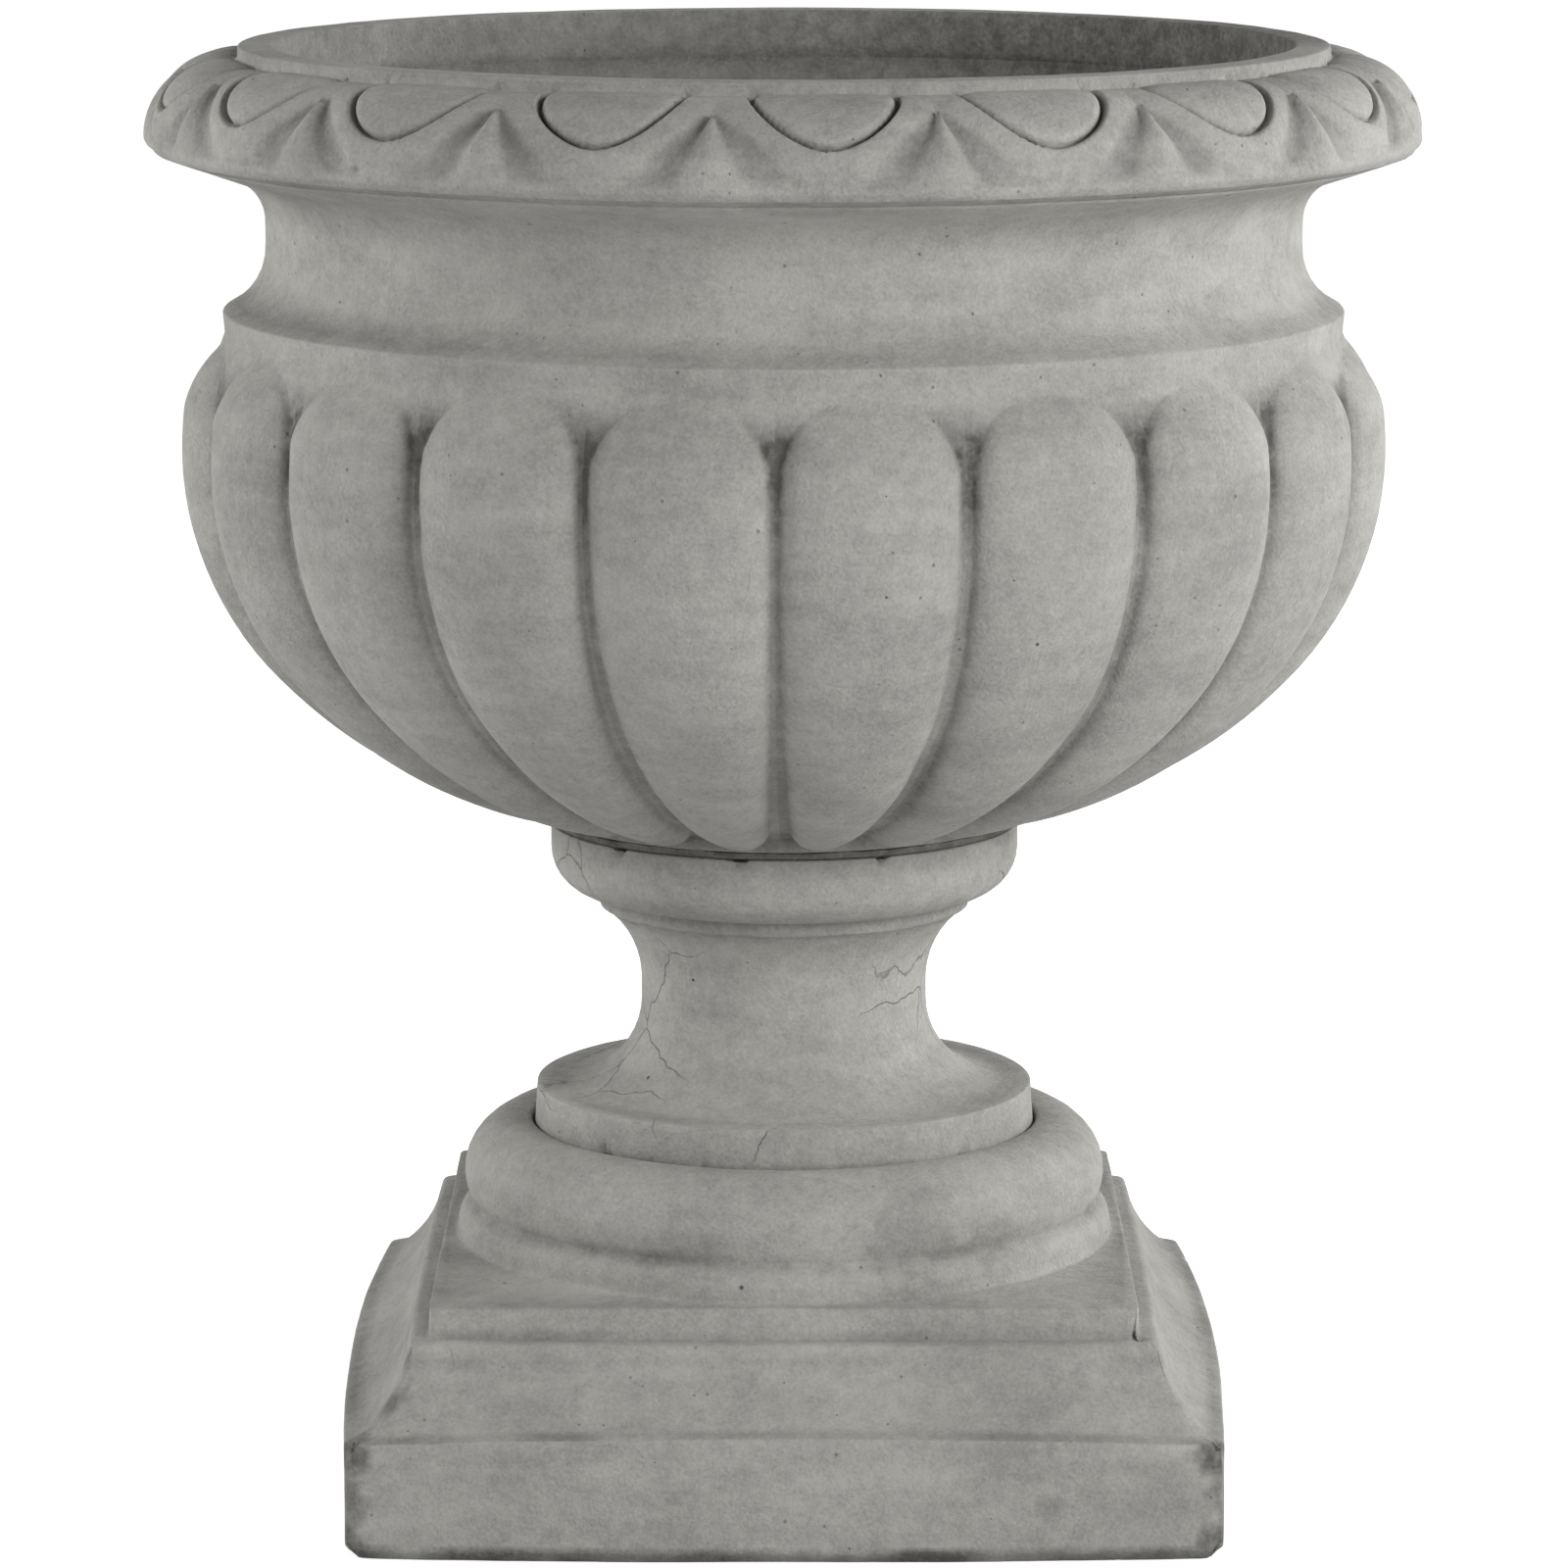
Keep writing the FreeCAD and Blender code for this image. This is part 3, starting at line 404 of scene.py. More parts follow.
def bowlRimPiece(size, body):
    lip, top, inside = size["lipFoot"][0], size["lipTop"], size["lipInside"]
    bend = size["lipRound"]
    path = outline(body["rimSeam"], size["edge"], (*size["widest"], size["tuck"]),
                   (*size["lipFoot"], size["curve"]), (lip, top - bend), (lip - bend, top, bend),
                   (inside + bend, top), (inside, top - bend, bend), (inside, top - size["lipDepth"]),
                   (*body["insideSeam"], -body["ogeeCurve"]), wear=0.6)
    length = lengthAlong(path)
    foot = length[np.argmin(np.abs(path - np.array(size["lipFoot"])).sum(1))]
    edge = length[np.argmin(np.abs(path - np.array(size["edge"])).sum(1))]
    base = body["lobePhase"]
    even = base + np.arange(1440) * 0.25
    # rows lie closest at the foot of the eggs and of the husks, and under the lip
    marks = [edge - 1.5, edge, edge + 1.2, edge + 2.4]
    gaps = np.interp(np.linspace(0, 1, 400), [0, 0.12, 0.3, 0.42, 0.9, 1],
                     [1.2, 1.1, 1.05, 1.25, 1.45, 0.7])
    run = np.cumsum(1 / gaps)
    count = 52
    marks = np.concatenate([marks, marks[-1] + (foot + 0.6 - marks[-1])
                            * np.interp(np.linspace(0, 1, count + 1)[1:], (run - run[0])
                                        / (run[-1] - run[0]), np.linspace(0, 1, 400))])
    down = (foot - marks)[:, None]
    pitch = 360 / size["eggs"]
    unit = (even - size["eggPhase"] + pitch / 2) % pitch - pitch / 2
    t = np.abs(unit) / 10
    # columns gather at the outline of each egg
    u = np.clip((down - size["eggStraight"]) / (size["eggLength"] - size["eggStraight"]), 0, 1)
    half = np.maximum(size["eggHalf"] * (1 - u ** 1.9) ** 0.556, 1.3)
    at = 0.12 + 0.34 * half / size["eggHalf"]
    sides = [t / at * half, half + (t - at) / 0.18 * 0.75,
             half + 0.75 + (t - at - 0.18) / (0.82 - at) * (9.25 - half)]
    gathered = np.where(t < at, sides[0], np.where(t < at + 0.18, sides[1], sides[2]))
    mix = ease(-0.5, 1.2, down) * ease(64, 52, down)
    turn = even + np.sign(unit) * (gathered - 10 * t) * mix
    points, outward = turnedGrid(path, marks, turn)
    radius = np.hypot(points[..., 0], points[..., 1])
    egg = ((even - size["eggPhase"] + pitch / 2) // pitch).astype(int) % size["eggs"]
    shift, reach, wide, plump = np.random.default_rng(5).uniform(-1, 1, (4, size["eggs"]))[:, egg]
    across = (turn - size["eggPhase"] + pitch / 2) % pitch - pitch / 2
    bound = 1 - ease(7, 10, np.abs(across))
    across = across - bound * (0.12 * shift + 0.16 * cloud(points, 30, 41))
    across = across * (1 + 0.02 * wide * bound)
    fall = down * (1 + 0.012 * reach * bound) + 0.8 * cloud(points, 34, 43) * ease(3, 14, down)
    height, soilAndShade = eggAndDart(size, across, fall, radius)
    height = height * (1 + 0.04 * plump * bound) * ease(75, 71, down)
    height = height * ease(-0.9, 0.4, down)
    points = points + (height + handwork(points, size["wear"]))[..., None] * outward
    points[0] = worn(turnedGrid(path, marks[:1], even), size["wear"])[0]
    plain = [rowMarks(path[length < edge - 2.4], 5, 1.0, 0.2),
             foot + 0.6 + rowMarks(path[length > foot + 0.6], 6, 0.5, 0.3)[1:]]
    rest = [worn(turnedGrid(path, part, even[::3]), size["wear"]) for part in plain]
    rings = [*rest[0], *points, *rest[1]]
    # the inside is dirtier than the lip, and painted shade makes it darker towards the right; painted
    # shade also darkens the back right of the lip top
    within = np.hypot(rest[1][..., 0], rest[1][..., 1]) < inside + 1
    lipSoilAndShade = 0.1 + within * (0.34 + 0.42 * ease(-160, 190, rest[1][..., 0]))
    backRightShade = ease(60, 190, rest[1][..., 0]) * ease(-50, 40, rest[1][..., 1])
    lipSoilAndShade += 0.6 * backRightShade * (rest[1][..., 2] > top - 1.5) * ~within
    soilAndShade = [0.3 + 0 * rest[0][..., 0], soilAndShade, lipSoilAndShade]
    return castMesh("bowl_rim", rings, {"soilAndShade": np.concatenate([part.ravel() for part in soilAndShade])})


bowlRimMesh = bowlRimPiece(bowlRim, bowlBody)


# turned stem

stem = {
    "bore": 25.0, "spigot": 55.0, "spigotDepth": 14.0, "foot": 119.9, "footLevel": 161.9,
    "footTop": 118.5, "shelfLevel": 182.9, "shelf": 108.3, "throat": 68.3,
    "throatLevels": (222.9, 231.9), "upper": (87.0, 267.9), "upperCurve": 44.0,
    "lowerCurve": 40.0, "bead": 88.4, "beadTop": 274.9, "ring": 111.5, "ringCurve": 21.5,
    "top": 308.9, "socket": 57.0, "socketDepth": 16.0, "wear": 0.8,
    # chips along the lower edge of the foot: place, reach and depth
    "chips": [(-84, -86, 163, 6, 2.6), (-98, -70, 163, 4, 1.8), (-62, -103, 162, 4, 1.4),
              (-40, -113, 162, 4, 1.2), (12, -120, 162, 4, 1.2), (84, -86, 162, 5, 1.6),
              (-20, -110, 309, 5, 1.5), (46, -102, 309, 6, 1.8), (-77, -80, 309, 6, 1.6),
              (60, 104, 162, 6, 2.0), (-95, 58, 309, 5, 1.5)],
}


def stemPiece(size):
    bowlLevel = size["top"] - size["socketDepth"]
    outside = outline((size["spigot"], size["footLevel"]), (size["foot"], size["footLevel"]),
                      (size["footTop"], size["shelfLevel"]), (size["shelf"], size["shelfLevel"]),
                      (size["throat"], size["throatLevels"][0], -size["lowerCurve"]),
                      (size["throat"], size["throatLevels"][1]),
                      (*size["upper"], -size["upperCurve"]), (size["bead"], size["upper"][1]),
                      (size["bead"], size["beadTop"]),
                      (size["ring"] - size["ringCurve"], size["beadTop"]),
                      (size["ring"], size["beadTop"] + size["ringCurve"], size["ringCurve"]),
                      (size["ring"], size["top"]), (size["socket"], size["top"]),
                      (size["socket"], bowlLevel), (size["bore"], bowlLevel),
                      (size["bore"], size["footLevel"] - size["spigotDepth"]),
                      (size["spigot"], size["footLevel"] - size["spigotDepth"]),
                      (size["spigot"], size["footLevel"]))
    marks = rowMarks(outside, 6, 0.9, 0.2)[:-1]
    points, outward = turnedGrid(outside, marks, np.arange(480) * 0.75)
    radius, level = np.hypot(points[..., 0], points[..., 1]), points[..., 2]
    push = handwork(points, size["wear"])
    shown, dents = chipped(points + push[..., None] * outward, outward, size["chips"])
    patchy = 0.65 + 0.5 * cloud(points, 40, 51)
    # darker in the creases by the bead and the shelf, near the top and the foot edges, and in the
    # chips
    soilAndShade = 0.34 * ease(9, 1, np.hypot(radius - size["bead"], level - size["upper"][1]))
    soilAndShade = np.maximum(soilAndShade, 0.4 * ease(9, 1, np.hypot(radius - 90, level - size["beadTop"])))
    soilAndShade = np.maximum(soilAndShade, 0.34 * ease(9, 1, np.hypot(radius - size["shelf"],
                                                       level - size["shelfLevel"])))
    soilAndShade = np.maximum(soilAndShade, 0.3 * ease(size["top"] - 14, size["top"], level) * (radius > 100))
    soilAndShade = np.maximum(soilAndShade, 0.7 * ease(164.5, 162, level) * (radius > 100)) * patchy
    return castMesh("stem_cast", list(shown), {"soilAndShade": np.maximum(soilAndShade, 0.6 * ease(0.5, 2, dents))
                                               .ravel()})


stemMesh = stemPiece(stem)


# square moulded plinth with its round step and torus

plinth = {
    "slab": 200.7, "slabTop": 57.9, "slabFall": 2.9, "slabChamfer": 5.0, "slabRound": 1.5,
    "mouldingFoot": 191.5, "mouldingTop": 172.8, "mouldingLevel": 95.4, "mouldingCurve": 62.0,
    "shoulder": 4.0, "block": 163.3, "blockTop": 110.0, "apron": 157.0, "apronSide": 4.0,
    "crease": 126.5, "torus": 153.7, "torusSection": 26.5, "torusLevel": 139.5,
    "socket": 120.1, "seatLevel": 158.9, "spigotSocket": 57.0, "socketFloor": 142.9,
    "bore": 25.0, "hollowLevel": 106.9, "hollowTop": 105.0, "hollowFoot": 154.7,
    "hollowCorner": 24.0, "corner": 4.5, "bow": 6.5, "sweep": 5.0, "wear": 1.0,
    # chips: place, reach and depth
    "chips": [(-200, -200, 56, 8, 2.4), (201, -200, 56, 8, 2.4), (-200, -200, 3, 8, 2.5),
              (200, -200, 3, 8, 2.2), (-118, -206, 1, 4, 1.4), (38, -207, 1, 5, 1.4),
              (150, -205, 1, 4, 1.4), (-158, -204, 55, 4, 1.2), (120, -206, 55, 4, 1.2),
              (-174, -174, 92, 7, 2.2), (-186, -186, 66, 6, 1.8), (172, -172, 95, 5, 1.6),
              (163, -163, 97, 5, 1.6), (207, 40, 2, 6, 1.8), (205, 150, 56, 5, 1.6),
              (-206, 90, 2, 7, 2.0), (-60, 207, 56, 6, 1.8), (90, 207, 2, 7, 2.0)],
    # weathered patches: place, reach and strength
    "blots": [(-200, -202, 50, 16, 0.75), (-203, -198, 30, 18, 0.6), (-200, -202, 6, 16, 0.8),
              (200, -202, 52, 14, 0.85), (203, -198, 30, 16, 0.55), (201, -202, 6, 18, 0.8),
              (-182, -182, 74, 12, 0.7), (-176, -176, 88, 9, 0.55), (122, -206, 26, 10, 0.4),
              (62, -140, 134, 30, 0.26), (98, -122, 132, 20, 0.24), (-40, -152, 130, 26, 0.16),
              (-150, -206, 20, 60, 0.14), (60, -206, 35, 80, 0.10), (170, -206, 12, 50, 0.2),
              (-120, -178, 80, 40, 0.12), (110, -176, 84, 46, 0.14), (200, 200, 40, 20, 0.6),
              (-200, 200, 30, 24, 0.6), (40, 206, 40, 18, 0.4)],
}


def squareReach(half, corner, bow, turn):
    # way from the axis to a square with rounded corners and sides that bow out in the middle
    side = (np.radians(turn) + np.pi / 4) % (np.pi / 2) - np.pi / 4
    cut = np.abs(np.tan(side))
    reach = (half + bow * (1 - cut ** 2)) / np.cos(side)
    away = np.abs(side)
    along = (half - corner) * (np.cos(away) + np.sin(away))
    inside = np.maximum(along ** 2 - 2 * (half - corner) ** 2 + corner ** 2, 0)
    return np.where(cut * half > half - corner, along + np.sqrt(inside), reach)


def plinthPiece(size):
    torusCentre = size["torus"] - size["torusSection"]
    over = size["torusLevel"] - size["crease"]
    torusFoot = torusCentre + np.sqrt(size["torusSection"] ** 2 - over ** 2)
    torusEnd = size["torusLevel"] + np.sqrt(size["torusSection"] ** 2
                                            - (torusCentre - size["socket"]) ** 2)
    apronSide = size["blockTop"] + size["apronSide"]
    apronCurve = (((size["apron"] - torusFoot) ** 2 + (size["crease"] - apronSide) ** 2)
                  / (2 * (size["apron"] - torusFoot)))
    slab, shoulder = size["slab"], size["shoulder"]
    slabEdge = size["slabTop"] - size["slabFall"]
    path = outline((slab - size["slabChamfer"], 0), (slab, size["slabChamfer"]),
                   (slab, slabEdge - size["slabRound"]),
                   (slab - size["slabRound"], slabEdge, size["slabRound"]),
                   (size["mouldingFoot"], size["slabTop"]),
                   (size["mouldingTop"], size["mouldingLevel"] - shoulder, -size["mouldingCurve"]),
                   (size["mouldingTop"] - shoulder, size["mouldingLevel"], shoulder),
                   (size["block"], size["mouldingLevel"]), (size["block"], size["blockTop"]),
                   (size["apron"], size["blockTop"]), (size["apron"], apronSide),
                   (torusFoot, size["crease"], apronCurve),
                   (size["torus"], size["torusLevel"], size["torusSection"]),
                   (size["socket"], torusEnd, size["torusSection"]),
                   (size["socket"], size["seatLevel"]), (size["spigotSocket"], size["seatLevel"]),
                   (size["spigotSocket"], size["socketFloor"]), (size["bore"], size["socketFloor"]),
                   (size["bore"], size["hollowLevel"]), (size["hollowTop"], size["hollowLevel"]),
                   (size["hollowFoot"], 0), (slab - size["slabChamfer"], 0), wear=1.1)
    marks = rowMarks(path, 6, 1.1, 0.2)[:-1]
    place = readAt(np.column_stack([path, sideways(path)]), marks)
    radius, level, out, up = (column[:, None] for column in place.T)
    # columns gather at the four corners
    v = (np.arange(640) % 160 - 80) / 80
    turn = np.degrees(np.arctan(0.3 * v + 0.7 * np.sin(v * np.pi / 2))) + np.arange(640) // 160 * 90
    apron = (level > size["blockTop"] - 0.2) & (radius < size["block"] - 0.8)
    square = np.where(apron, ease(size["apron"] + 0.8, size["block"] - 1.2, radius), 1.0)
    roof = (level < size["hollowLevel"] + 2) & (radius < size["hollowTop"] - 2)
    square = np.where(roof, ease(60, size["hollowTop"] - 8, radius), square)
    under = (radius < size["hollowFoot"] + 3) & (level < size["hollowLevel"] + 3)
    corner = np.where(under, size["hollowCorner"], size["corner"])
    bow = size["bow"] * ease(size["blockTop"] + 6, size["slabTop"] - 10, level) * ~under
    across = squareReach(radius, corner, bow, turn)
    reach = radius + (across - radius) * square
    tilt = square * ((np.radians(turn) + np.pi / 4) % (np.pi / 2) - np.pi / 4)
    # the arris of the slab rises to the middle of each side
    rise = size["sweep"] * ease(12, 50, level) * ease(84, 58, level) * ~under
    middle = 1 - np.tan((np.radians(turn) + np.pi / 4) % (np.pi / 2) - np.pi / 4) ** 2
    points = spun(reach, level + rise * middle, turn)
    outward = spun(out, up, turn - np.degrees(tilt))
    push = handwork(points, size["wear"])
    shown, dents = chipped(points + push[..., None] * outward, outward, size["chips"])
    # dirt along the arrises and creases, partly painted shade in the creases: radius, level, reach
    # and strength
    lines = [(slab - 3, slabEdge + 0.5, 3.4, 0.62), (size["block"], size["mouldingLevel"], 5, 0.42),
             (size["block"] - 2, size["blockTop"], 5, 0.34), (torusFoot, size["crease"], 7, 0.5),
             (size["mouldingTop"], size["mouldingLevel"] - 8, 4, 0.22),
             (size["socket"], torusEnd, 5, 0.15)]
    # painted shade along the bottom chamfer of the slab
    soilAndShade = 0.98 * ease(9, 5, level) * (radius > size["hollowFoot"] + 3)
    for r, z, reaches, strength in lines:
        soilAndShade = np.maximum(soilAndShade, strength * ease(reaches, 0.5, np.hypot(radius - r, level - z)))
    soilAndShade = soilAndShade * (0.72 + 0.5 * cloud(points, 34, 71) + 0.25 * cloud(points, 9, 72))
    rough = 1 + 0.35 * cloud(points, 12, 73) + 0.25 * cloud(points, 4, 74)
    for x, y, z, reaches, strength in size["blots"]:
        away = np.linalg.norm(points - np.array([x, y, z]), axis=-1) * rough
        soilAndShade = np.maximum(soilAndShade, strength * ease(reaches, 0.45 * reaches, away))
    soilAndShade = np.maximum(soilAndShade, 0.7 * ease(0.6, 2.4, dents))
    return castMesh("plinth_cast", list(shown), {"soilAndShade": soilAndShade.ravel()})


plinthMesh = plinthPiece(plinth)


# mortar beds

beds = {
    "foot": (119.9, 158.85, 161.85), "bowl": (111.5, 308.85, 311.85), "socket": 57.0,
    "rake": 1.2, "squeeze": 1.4,
}


def bedPiece(name, size, node):
    # a raked joint: a hollow outer edge, with beads of mortar squeezed out here and there
    outer, low, high = size[node]
    path = outline((size["socket"], low), (outer - size["rake"], low),
                   (outer - size["rake"], high, 6), (size["socket"], high), (size["socket"], low),
                   wear=0.4)
    marks = rowMarks(path, 6, 0.35, 0.4)[:-1]
    points, outward = turnedGrid(path, marks, np.arange(720) * 0.5)
    radius = np.hypot(points[..., 0], points[..., 1])
    edge = ease(outer - 5, outer - 2, radius)
    squeezed = cloud(points, 14, 61) * 0.6 + cloud(points, 5, 62) * 0.5
    push = edge * size["squeeze"] * (np.clip(squeezed, -0.6, 1) - 0.2)
    flat = outward * [[[1, 1, 0]]]
    return castMesh(name, list(points + push[..., None] * flat),
                    {"soilAndShade": (0.5 + 0.4 * squeezed).ravel()})


# tie rod

tieRod = {"node": "tie_rod", "pitch": 1.75, "root": 5.06, "crest": 5.97, "chamfer": 1.2}


def rodPiece(size):
    # Radius = root + depth of the thread * tooth(height / pitch - turn), a 60 degree tooth
    # with flats on its crest and root, and both ends cut to a chamfer.
    low, high = (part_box(size["node"])[end][2] * 1000 for end in (0, 1))
    step = size["pitch"] / 6
    level = np.linspace(low, high, int((high - low) / step) + 1)[:, None]
    turn = np.arange(24) * 15.0
    phase = (level / size["pitch"] - turn / 360) % 1
    tooth = np.clip((0.5 - np.abs(phase - 0.5)) * 2.6 - 0.15, 0, 1)
    crest = np.minimum(size["crest"], 4.6 + np.minimum(level - low, high - level)
                       * (size["crest"] - 4.6) / size["chamfer"])
    radius = np.minimum(size["root"] + (size["crest"] - size["root"]) * tooth, crest)
    points = spun(radius, level, turn)
    corners, sizes = [], []
    few = np.arange(24)
    rows = np.arange(len(level) - 1)[:, None] * 24
    around = np.stack([rows + few, rows + (few + 1) % 24, rows + 24 + (few + 1) % 24,
                       rows + 24 + few], -1)
    corners = np.concatenate([around.ravel(), few[::-1], (len(level) - 1) * 24 + few])
    sizes = np.concatenate([np.full(around.shape[0] * 24, 4), [24, 24]])
    return meshPiece("threaded_rod", points.reshape(-1, 3), corners, sizes, {})


rodMesh = rodPiece(tieRod)

footBed = bedPiece("foot_mortar", beds, "foot")
bowlBed = bedPiece("bowl_mortar", beds, "bowl")

for piece, node in ((bowlBodyMesh, "bowl"), (bowlRimMesh, "bowl"), (stemMesh, "pedestal_stem"),
                    (plinthMesh, "plinth"), (footBed, "foot_mortar_bed"),
                    (bowlBed, "bowl_mortar_bed"), (rodMesh, "tie_rod")):
    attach(piece, "root")
    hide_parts(node)
print("castings and beds in place")


# materials

def nodeGroup(name, inputs, outputs):
    # new shader group; inputs and outputs are (name, kind, value)
    group = bpy.data.node_groups.new(name, "ShaderNodeTree")
    for way, sockets in (("INPUT", inputs), ("OUTPUT", outputs)):
        for label, kind, value in sockets:
            socket = group.interface.new_socket(name=label, in_out=way,
                                                socket_type="NodeSocket" + kind)
            if value is not None:
                socket.default_value = value
    return group, group.nodes.new("NodeGroupInput"), group.nodes.new("NodeGroupOutput")


def addNode(tree, kind, values=None, links=None, **settings):
    # node with settings, values for its inputs, and links from other sockets into them
    node = tree.nodes.new("ShaderNode" + kind)
    for setting, value in settings.items():
        setattr(node, setting, value)
    for key, value in (values or {}).items():
        node.inputs[key].default_value = value
    for key, socket in (links or {}).items():
        tree.links.new(socket, node.inputs[key])
    return node


def noiseAt(tree, vector, scale, detail=2.0, rough=0.5, distortion=0.0):
    return addNode(tree, "TexNoise", {"Scale": scale, "Detail": detail, "Roughness": rough,
                                      "Distortion": distortion}, {"Vector": vector}).outputs["Fac"]


def calc(tree, operation, a, b=None, c=None, clamp=False):
    node = tree.nodes.new("ShaderNodeMath")
    node.operation = operation
    node.use_clamp = clamp
    for index, value in enumerate((a, b, c)):
        if value is None:
            continue
        if isinstance(value, (int, float)):
            node.inputs[index].default_value = value
        else:
            tree.links.new(value, node.inputs[index])
    return node.outputs[0]


def span(tree, value, low, high, start=0.0, end=1.0):
    # value stretched from low..high to start..end, and held there
    node = addNode(tree, "MapRange", {"From Min": low, "From Max": high, "To Min": start,
                                      "To Max": end}, {"Value": value}, clamp=True)
    return node.outputs["Result"]


def mixColour(tree, share, a, b, blend="MIX"):
    node = tree.nodes.new("ShaderNodeMix")
    node.data_type = "RGBA"
    node.blend_type = blend
    for index, value in ((0, share), (6, a), (7, b)):
        if isinstance(value, (int, float, tuple)):
            node.inputs[index].default_value = value
        else:
            tree.links.new(value, node.inputs[index])
    return node.outputs[2]


def stoneGrainGroup():
    # mottling, sand and speckle of cast stone, as a tone from 0 to 1 and a height
    group, start, end = nodeGroup("stoneGrain", [("Vector", "Vector", None),
                                                 ("Cloud Scale", "Float", 14.0),
                                                 ("Sand Scale", "Float", 420.0)],
                                  [("Tone", "Float", None), ("Height", "Float", None)])
    vector = start.outputs["Vector"]
    clouds = addNode(group, "TexNoise", {"Detail": 2.0, "Roughness": 0.5},
                     {"Vector": vector, "Scale": start.outputs["Cloud Scale"]}).outputs["Fac"]
    mottle = noiseAt(group, vector, 130.0, 3.0, 0.6)
    sand = addNode(group, "TexNoise", {"Detail": 3.0, "Roughness": 0.65},
                   {"Vector": vector, "Scale": start.outputs["Sand Scale"]}).outputs["Fac"]
    lumps = noiseAt(group, vector, 210.0, 2.0, 0.6)
    drawn = addNode(group, "VectorMath", {1: (0.22, 0.22, 1.0)}, {0: vector},
                    operation="MULTIPLY").outputs[0]
    streaks = noiseAt(group, drawn, 75.0, 3.0, 0.6)
    tone = calc(group, "MULTIPLY", clouds, 0.26)
    tone = calc(group, "MULTIPLY_ADD", streaks, 0.22, tone)
    tone = calc(group, "MULTIPLY_ADD", mottle, 0.22, tone)
    tone = calc(group, "MULTIPLY_ADD", sand, 0.30, tone)
    height = calc(group, "MULTIPLY_ADD", lumps, 0.65, calc(group, "MULTIPLY", sand, 0.55))
    group.links.new(span(group, tone, 0.40, 0.60), end.inputs["Tone"])
    group.links.new(height, end.inputs["Height"])
    return group


def pinholeGroup():
    # sparse round air holes, 1 inside a hole and 0 elsewhere
    group, start, end = nodeGroup("pinholes", [("Vector", "Vector", None),
                                               ("Scale", "Float", 60.0), ("Size", "Float", 0.07),
                                               ("Share", "Float", 0.2)],
                                  [("Mask", "Float", None)])
    cells = addNode(group, "TexVoronoi", {"Randomness": 1.0},
                    {"Vector": start.outputs["Vector"], "Scale": start.outputs["Scale"]})
    pick = addNode(group, "SeparateColor", links={"Color": cells.outputs["Color"]})
    reach = calc(group, "MULTIPLY", start.outputs["Size"],
                 calc(group, "MULTIPLY_ADD", pick.outputs["Green"], 0.9, 0.4))
    hole = calc(group, "DIVIDE", calc(group, "SUBTRACT", reach, cells.outputs["Distance"]),
                calc(group, "MULTIPLY", reach, 0.35), clamp=True)
    chosen = calc(group, "LESS_THAN", pick.outputs["Red"], start.outputs["Share"])
    group.links.new(calc(group, "MULTIPLY", hole, chosen), end.inputs["Mask"])
    return group


def hairCrackGroup():
    # sparse hairlines along the borders of large cells, kept where a slow noise allows them
    group, start, end = nodeGroup("hairCracks", [("Vector", "Vector", None),
                                                 ("Scale", "Float", 14.0),
                                                 ("Width", "Float", 0.006),
                                                 ("Kept", "Float", 0.6)],
                                  [("Mask", "Float", None)])
    vector = start.outputs["Vector"]
    wander = addNode(group, "TexNoise", {"Scale": 60.0, "Detail": 3.0}, {"Vector": vector})
    bent = addNode(group, "VectorMath", {1: (0.012, 0.012, 0.012)},
                   {0: wander.outputs["Color"]}, operation="MULTIPLY").outputs[0]
    bent = addNode(group, "VectorMath", links={0: vector, 1: bent}, operation="ADD").outputs[0]
    cells = addNode(group, "TexVoronoi", links={"Vector": bent, "Scale": start.outputs["Scale"]},
                    feature="DISTANCE_TO_EDGE")
    line = calc(group, "DIVIDE", calc(group, "SUBTRACT", start.outputs["Width"],
                                      cells.outputs["Distance"]), start.outputs["Width"],
                clamp=True)
    kept = calc(group, "SUBTRACT", noiseAt(group, vector, 9.0, 1.0), start.outputs["Kept"])
    kept = calc(group, "MULTIPLY", kept, 18.0, clamp=True)
    group.links.new(calc(group, "MULTIPLY", line, kept), end.inputs["Mask"])
    return group


def grimeAndShadeGroup():
    # dirt and painted shade held in joints and grooves, broken up by noise
    group, start, end = nodeGroup("grimeAndShade", [("Vector", "Vector", None), ("Soil And Shade", "Float", 0.0),
                                            ("Amount", "Float", 1.0)], [("Mask", "Float", None)])
    broken = noiseAt(group, start.outputs["Vector"], 110.0, 4.0, 0.6)
    spots = noiseAt(group, start.outputs["Vector"], 420.0, 2.0, 0.6)
    loose = calc(group, "MULTIPLY_ADD", spots, 0.5, calc(group, "MULTIPLY", broken, 0.8))
    held = calc(group, "MULTIPLY", start.outputs["Soil And Shade"],
                span(group, loose, 0.45, 0.85, 1.25, 0.65))
    worn = span(group, held, 0.04, 0.95)
    group.links.new(calc(group, "MULTIPLY", worn, start.outputs["Amount"], clamp=True),
                    end.inputs["Mask"])
    return group


def brushedGroup():
    # fine lines along one axis, as a tone round 0.5
    group, start, end = nodeGroup("brushed", [("Vector", "Vector", None),
                                              ("Stretch", "Vector", (1.0, 1.0, 0.02)),
                                              ("Scale", "Float", 2600.0)],
                                  [("Tone", "Float", None)])
    drawn = addNode(group, "VectorMath", links={0: start.outputs["Vector"],
                                                1: start.outputs["Stretch"]},
                    operation="MULTIPLY").outputs[0]
    lines = addNode(group, "TexNoise", {"Detail": 3.0, "Roughness": 0.6},
                    {"Vector": drawn, "Scale": start.outputs["Scale"]}).outputs["Fac"]
    group.links.new(lines, end.inputs["Tone"])
    return group


stoneGrain, pinholes, hairCracks = stoneGrainGroup(), pinholeGroup(), hairCrackGroup()
grimeAndShade, brushed = grimeAndShadeGroup(), brushedGroup()


